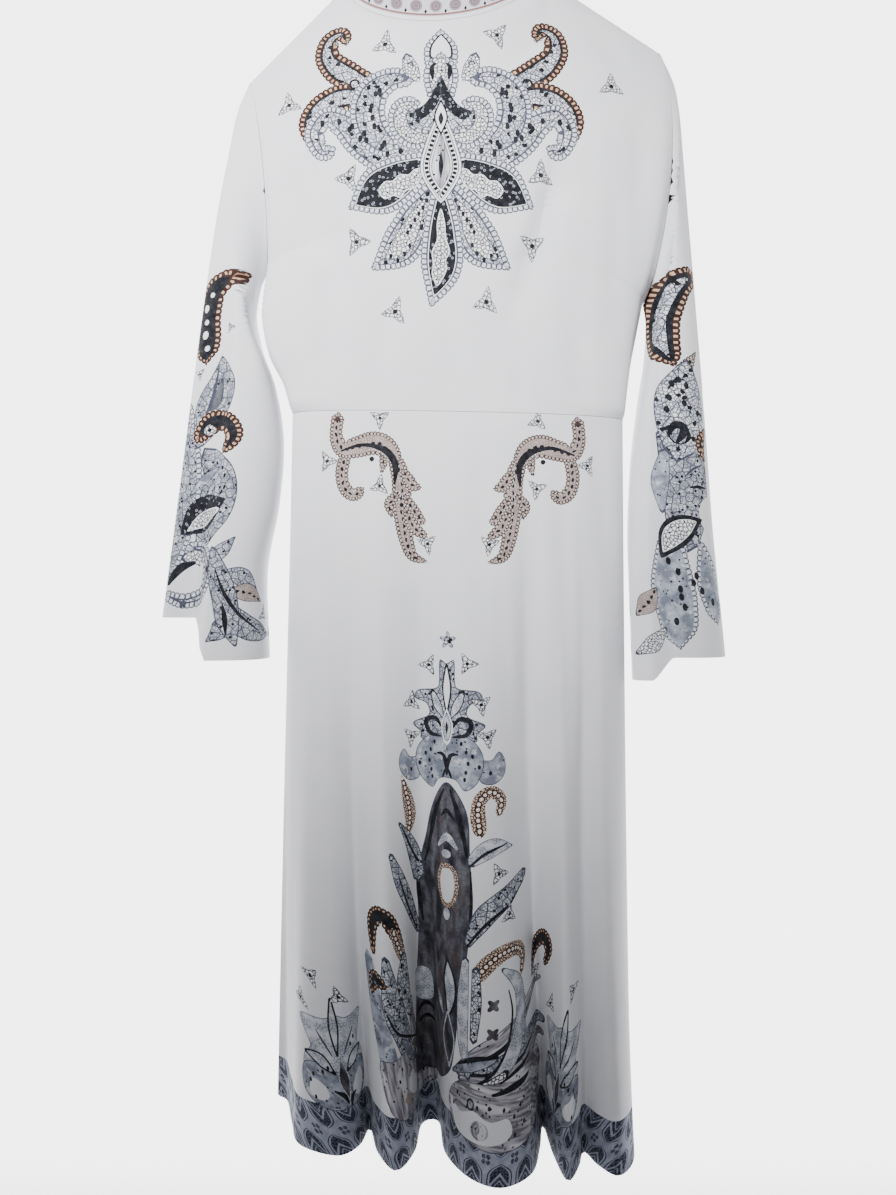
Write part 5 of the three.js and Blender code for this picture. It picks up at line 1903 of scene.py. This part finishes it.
@dataclass(frozen=True)
class Studio:
    """A pale round studio with soft lights, and the camera where the photograph was taken."""

    camera_place: tuple[float, float, float] = (0, -1.0, -0.7514)
    lens: float = 28.97
    sensor: float = 36
    radius: float = 3.2
    floor: float = -1.75
    wall: float = 4.6
    cove: float = 0.9
    cove_steps: int = 12
    around: int = 96
    air: tuple[float, ...] = (0.96, 0.97, 1, 1)
    air_strength: float = 0.05
    lights: tuple[tuple, ...] = (
        ("key", (-1.0, -1.7, 0.5), (1.2, 1.2), 6, -0.3),
        ("fill", (1.9, -2.0, -0.2), (1.8, 1.8), 2.5, -0.7),
        ("top", (0, -0.3, 1.9), (2.2, 1.6), 8, -0.7),
        ("behind", (0, 1.9, 1.2), (2.0, 1.4), 14, -0.7),
    )
    spot_place: tuple[float, ...] = (-0.9, -2.4, 0.4)
    spot_target: tuple[float, ...] = (-0.08, 0, -0.36)
    spot_watts: float = 790
    spot_angle: float = 27.4
    spot_size: float = 0.3

    def build(self) -> None:
        """Makes the studio."""
        self._camera()
        self._sweep()
        for light in self.lights:
            self._light(*light)
        self._spot()
        world = bpy.data.worlds.new("studio_air")
        world.use_nodes = True
        air = world.node_tree.nodes["Background"]
        air.inputs["Color"].default_value = self.air
        air.inputs["Strength"].default_value = self.air_strength
        bpy.context.scene.world = world

    def _camera(self) -> None:
        """Puts the camera level with the middle of the garment."""
        data = bpy.data.cameras.new("photo_camera")
        data.sensor_fit = "VERTICAL"
        data.sensor_height = self.sensor
        data.lens = self.lens
        camera = bpy.data.objects.new("photo_camera", data)
        camera.location = self.camera_place
        camera.rotation_euler = (math.pi / 2, 0, 0)
        bpy.context.scene.collection.objects.link(camera)
        bpy.context.scene.camera = camera

    def _spot(self) -> None:
        """Adds a wide spot whose light fades towards the hem."""
        data = bpy.data.lights.new("spot", "SPOT")
        data.spot_size = math.radians(self.spot_angle)
        data.spot_blend = 1.0
        data.shadow_soft_size = self.spot_size
        self._aim(data, self.spot_place, self.spot_target, self.spot_watts)

    def _light(self, name: str, place: tuple, size: Spot, watts: float, aim_height: float) -> None:
        """Adds a soft light that faces the garment at this height."""
        data = bpy.data.lights.new(name, "AREA")
        data.shape = "RECTANGLE"
        data.size, data.size_y = size
        self._aim(data, place, (0, 0, aim_height), watts)

    @staticmethod
    def _aim(data: bpy.types.Light, place: tuple, target: tuple, watts: float) -> None:
        """Puts a light in its place and turns it to its target."""
        data.energy = watts
        light = bpy.data.objects.new(data.name, data)
        light.location = place
        line = Vector(target) - Vector(place)
        light.rotation_euler = line.to_track_quat("-Z", "Y").to_euler()
        bpy.context.scene.collection.objects.link(light)

    def _sweep(self) -> None:
        """Makes the floor, which curves up into a wall all round."""
        turn = np.linspace(0, np.pi / 2, self.cove_steps + 1)
        inner = self.radius - self.cove
        profile = [(0.001, 0.0), (inner * 0.5, 0.0)]
        profile += [(inner + self.cove * math.sin(t), self.cove * (1 - math.cos(t))) for t in turn]
        profile.append((self.radius, self.wall))
        around = self.around
        vertices = [
            (r * math.cos(a), r * math.sin(a), self.floor + z)
            for r, z in profile for a in np.arange(around) * 2 * math.pi / around
        ]
        faces = [
            (k * around + i, k * around + (i + 1) % around,
             (k + 1) * around + (i + 1) % around, (k + 1) * around + i)
            for k in range(len(profile) - 1) for i in range(around)
        ]
        mesh = bpy.data.meshes.new("studio_sweep")
        mesh.from_pydata(vertices, [], faces)
        mesh.polygons.foreach_set("use_smooth", [True] * len(faces))
        mesh.materials.append(Paper().material())
        sweep = bpy.data.objects.new("studio_sweep", mesh)
        bpy.context.scene.collection.objects.link(sweep)


def main() -> None:
    """Builds the garment, its hanger and the studio."""
    logging.basicConfig(level=logging.INFO, format="%(message)s")
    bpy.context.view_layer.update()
    Studio().build()
    Hanger().dress()
    jersey = Jersey()
    inks = {ink: jersey.material(ink) for ink in Ink}
    skirt = Skirt()
    bodice = Bodice(skirt)
    pieces = [NeckBand("neck_binding", bodice, 0.4, 5, Ink.PLAIN, "jersey", True, bulge=0.5).cloth()]
    pieces += [bodice.cloth(side) for side in Side]
    pieces += [skirt.cloth(side) for side in Side]
    pieces += [Sleeve(hand, bodice).cloth() for hand in Hand]
    pieces.append(NeckBand("stand_collar", bodice, 5.4, 27, Ink.COLLAR, "printed_band").cloth())
    for piece in pieces:
        piece.build(inks)


if __name__ == "__main__":
    main()
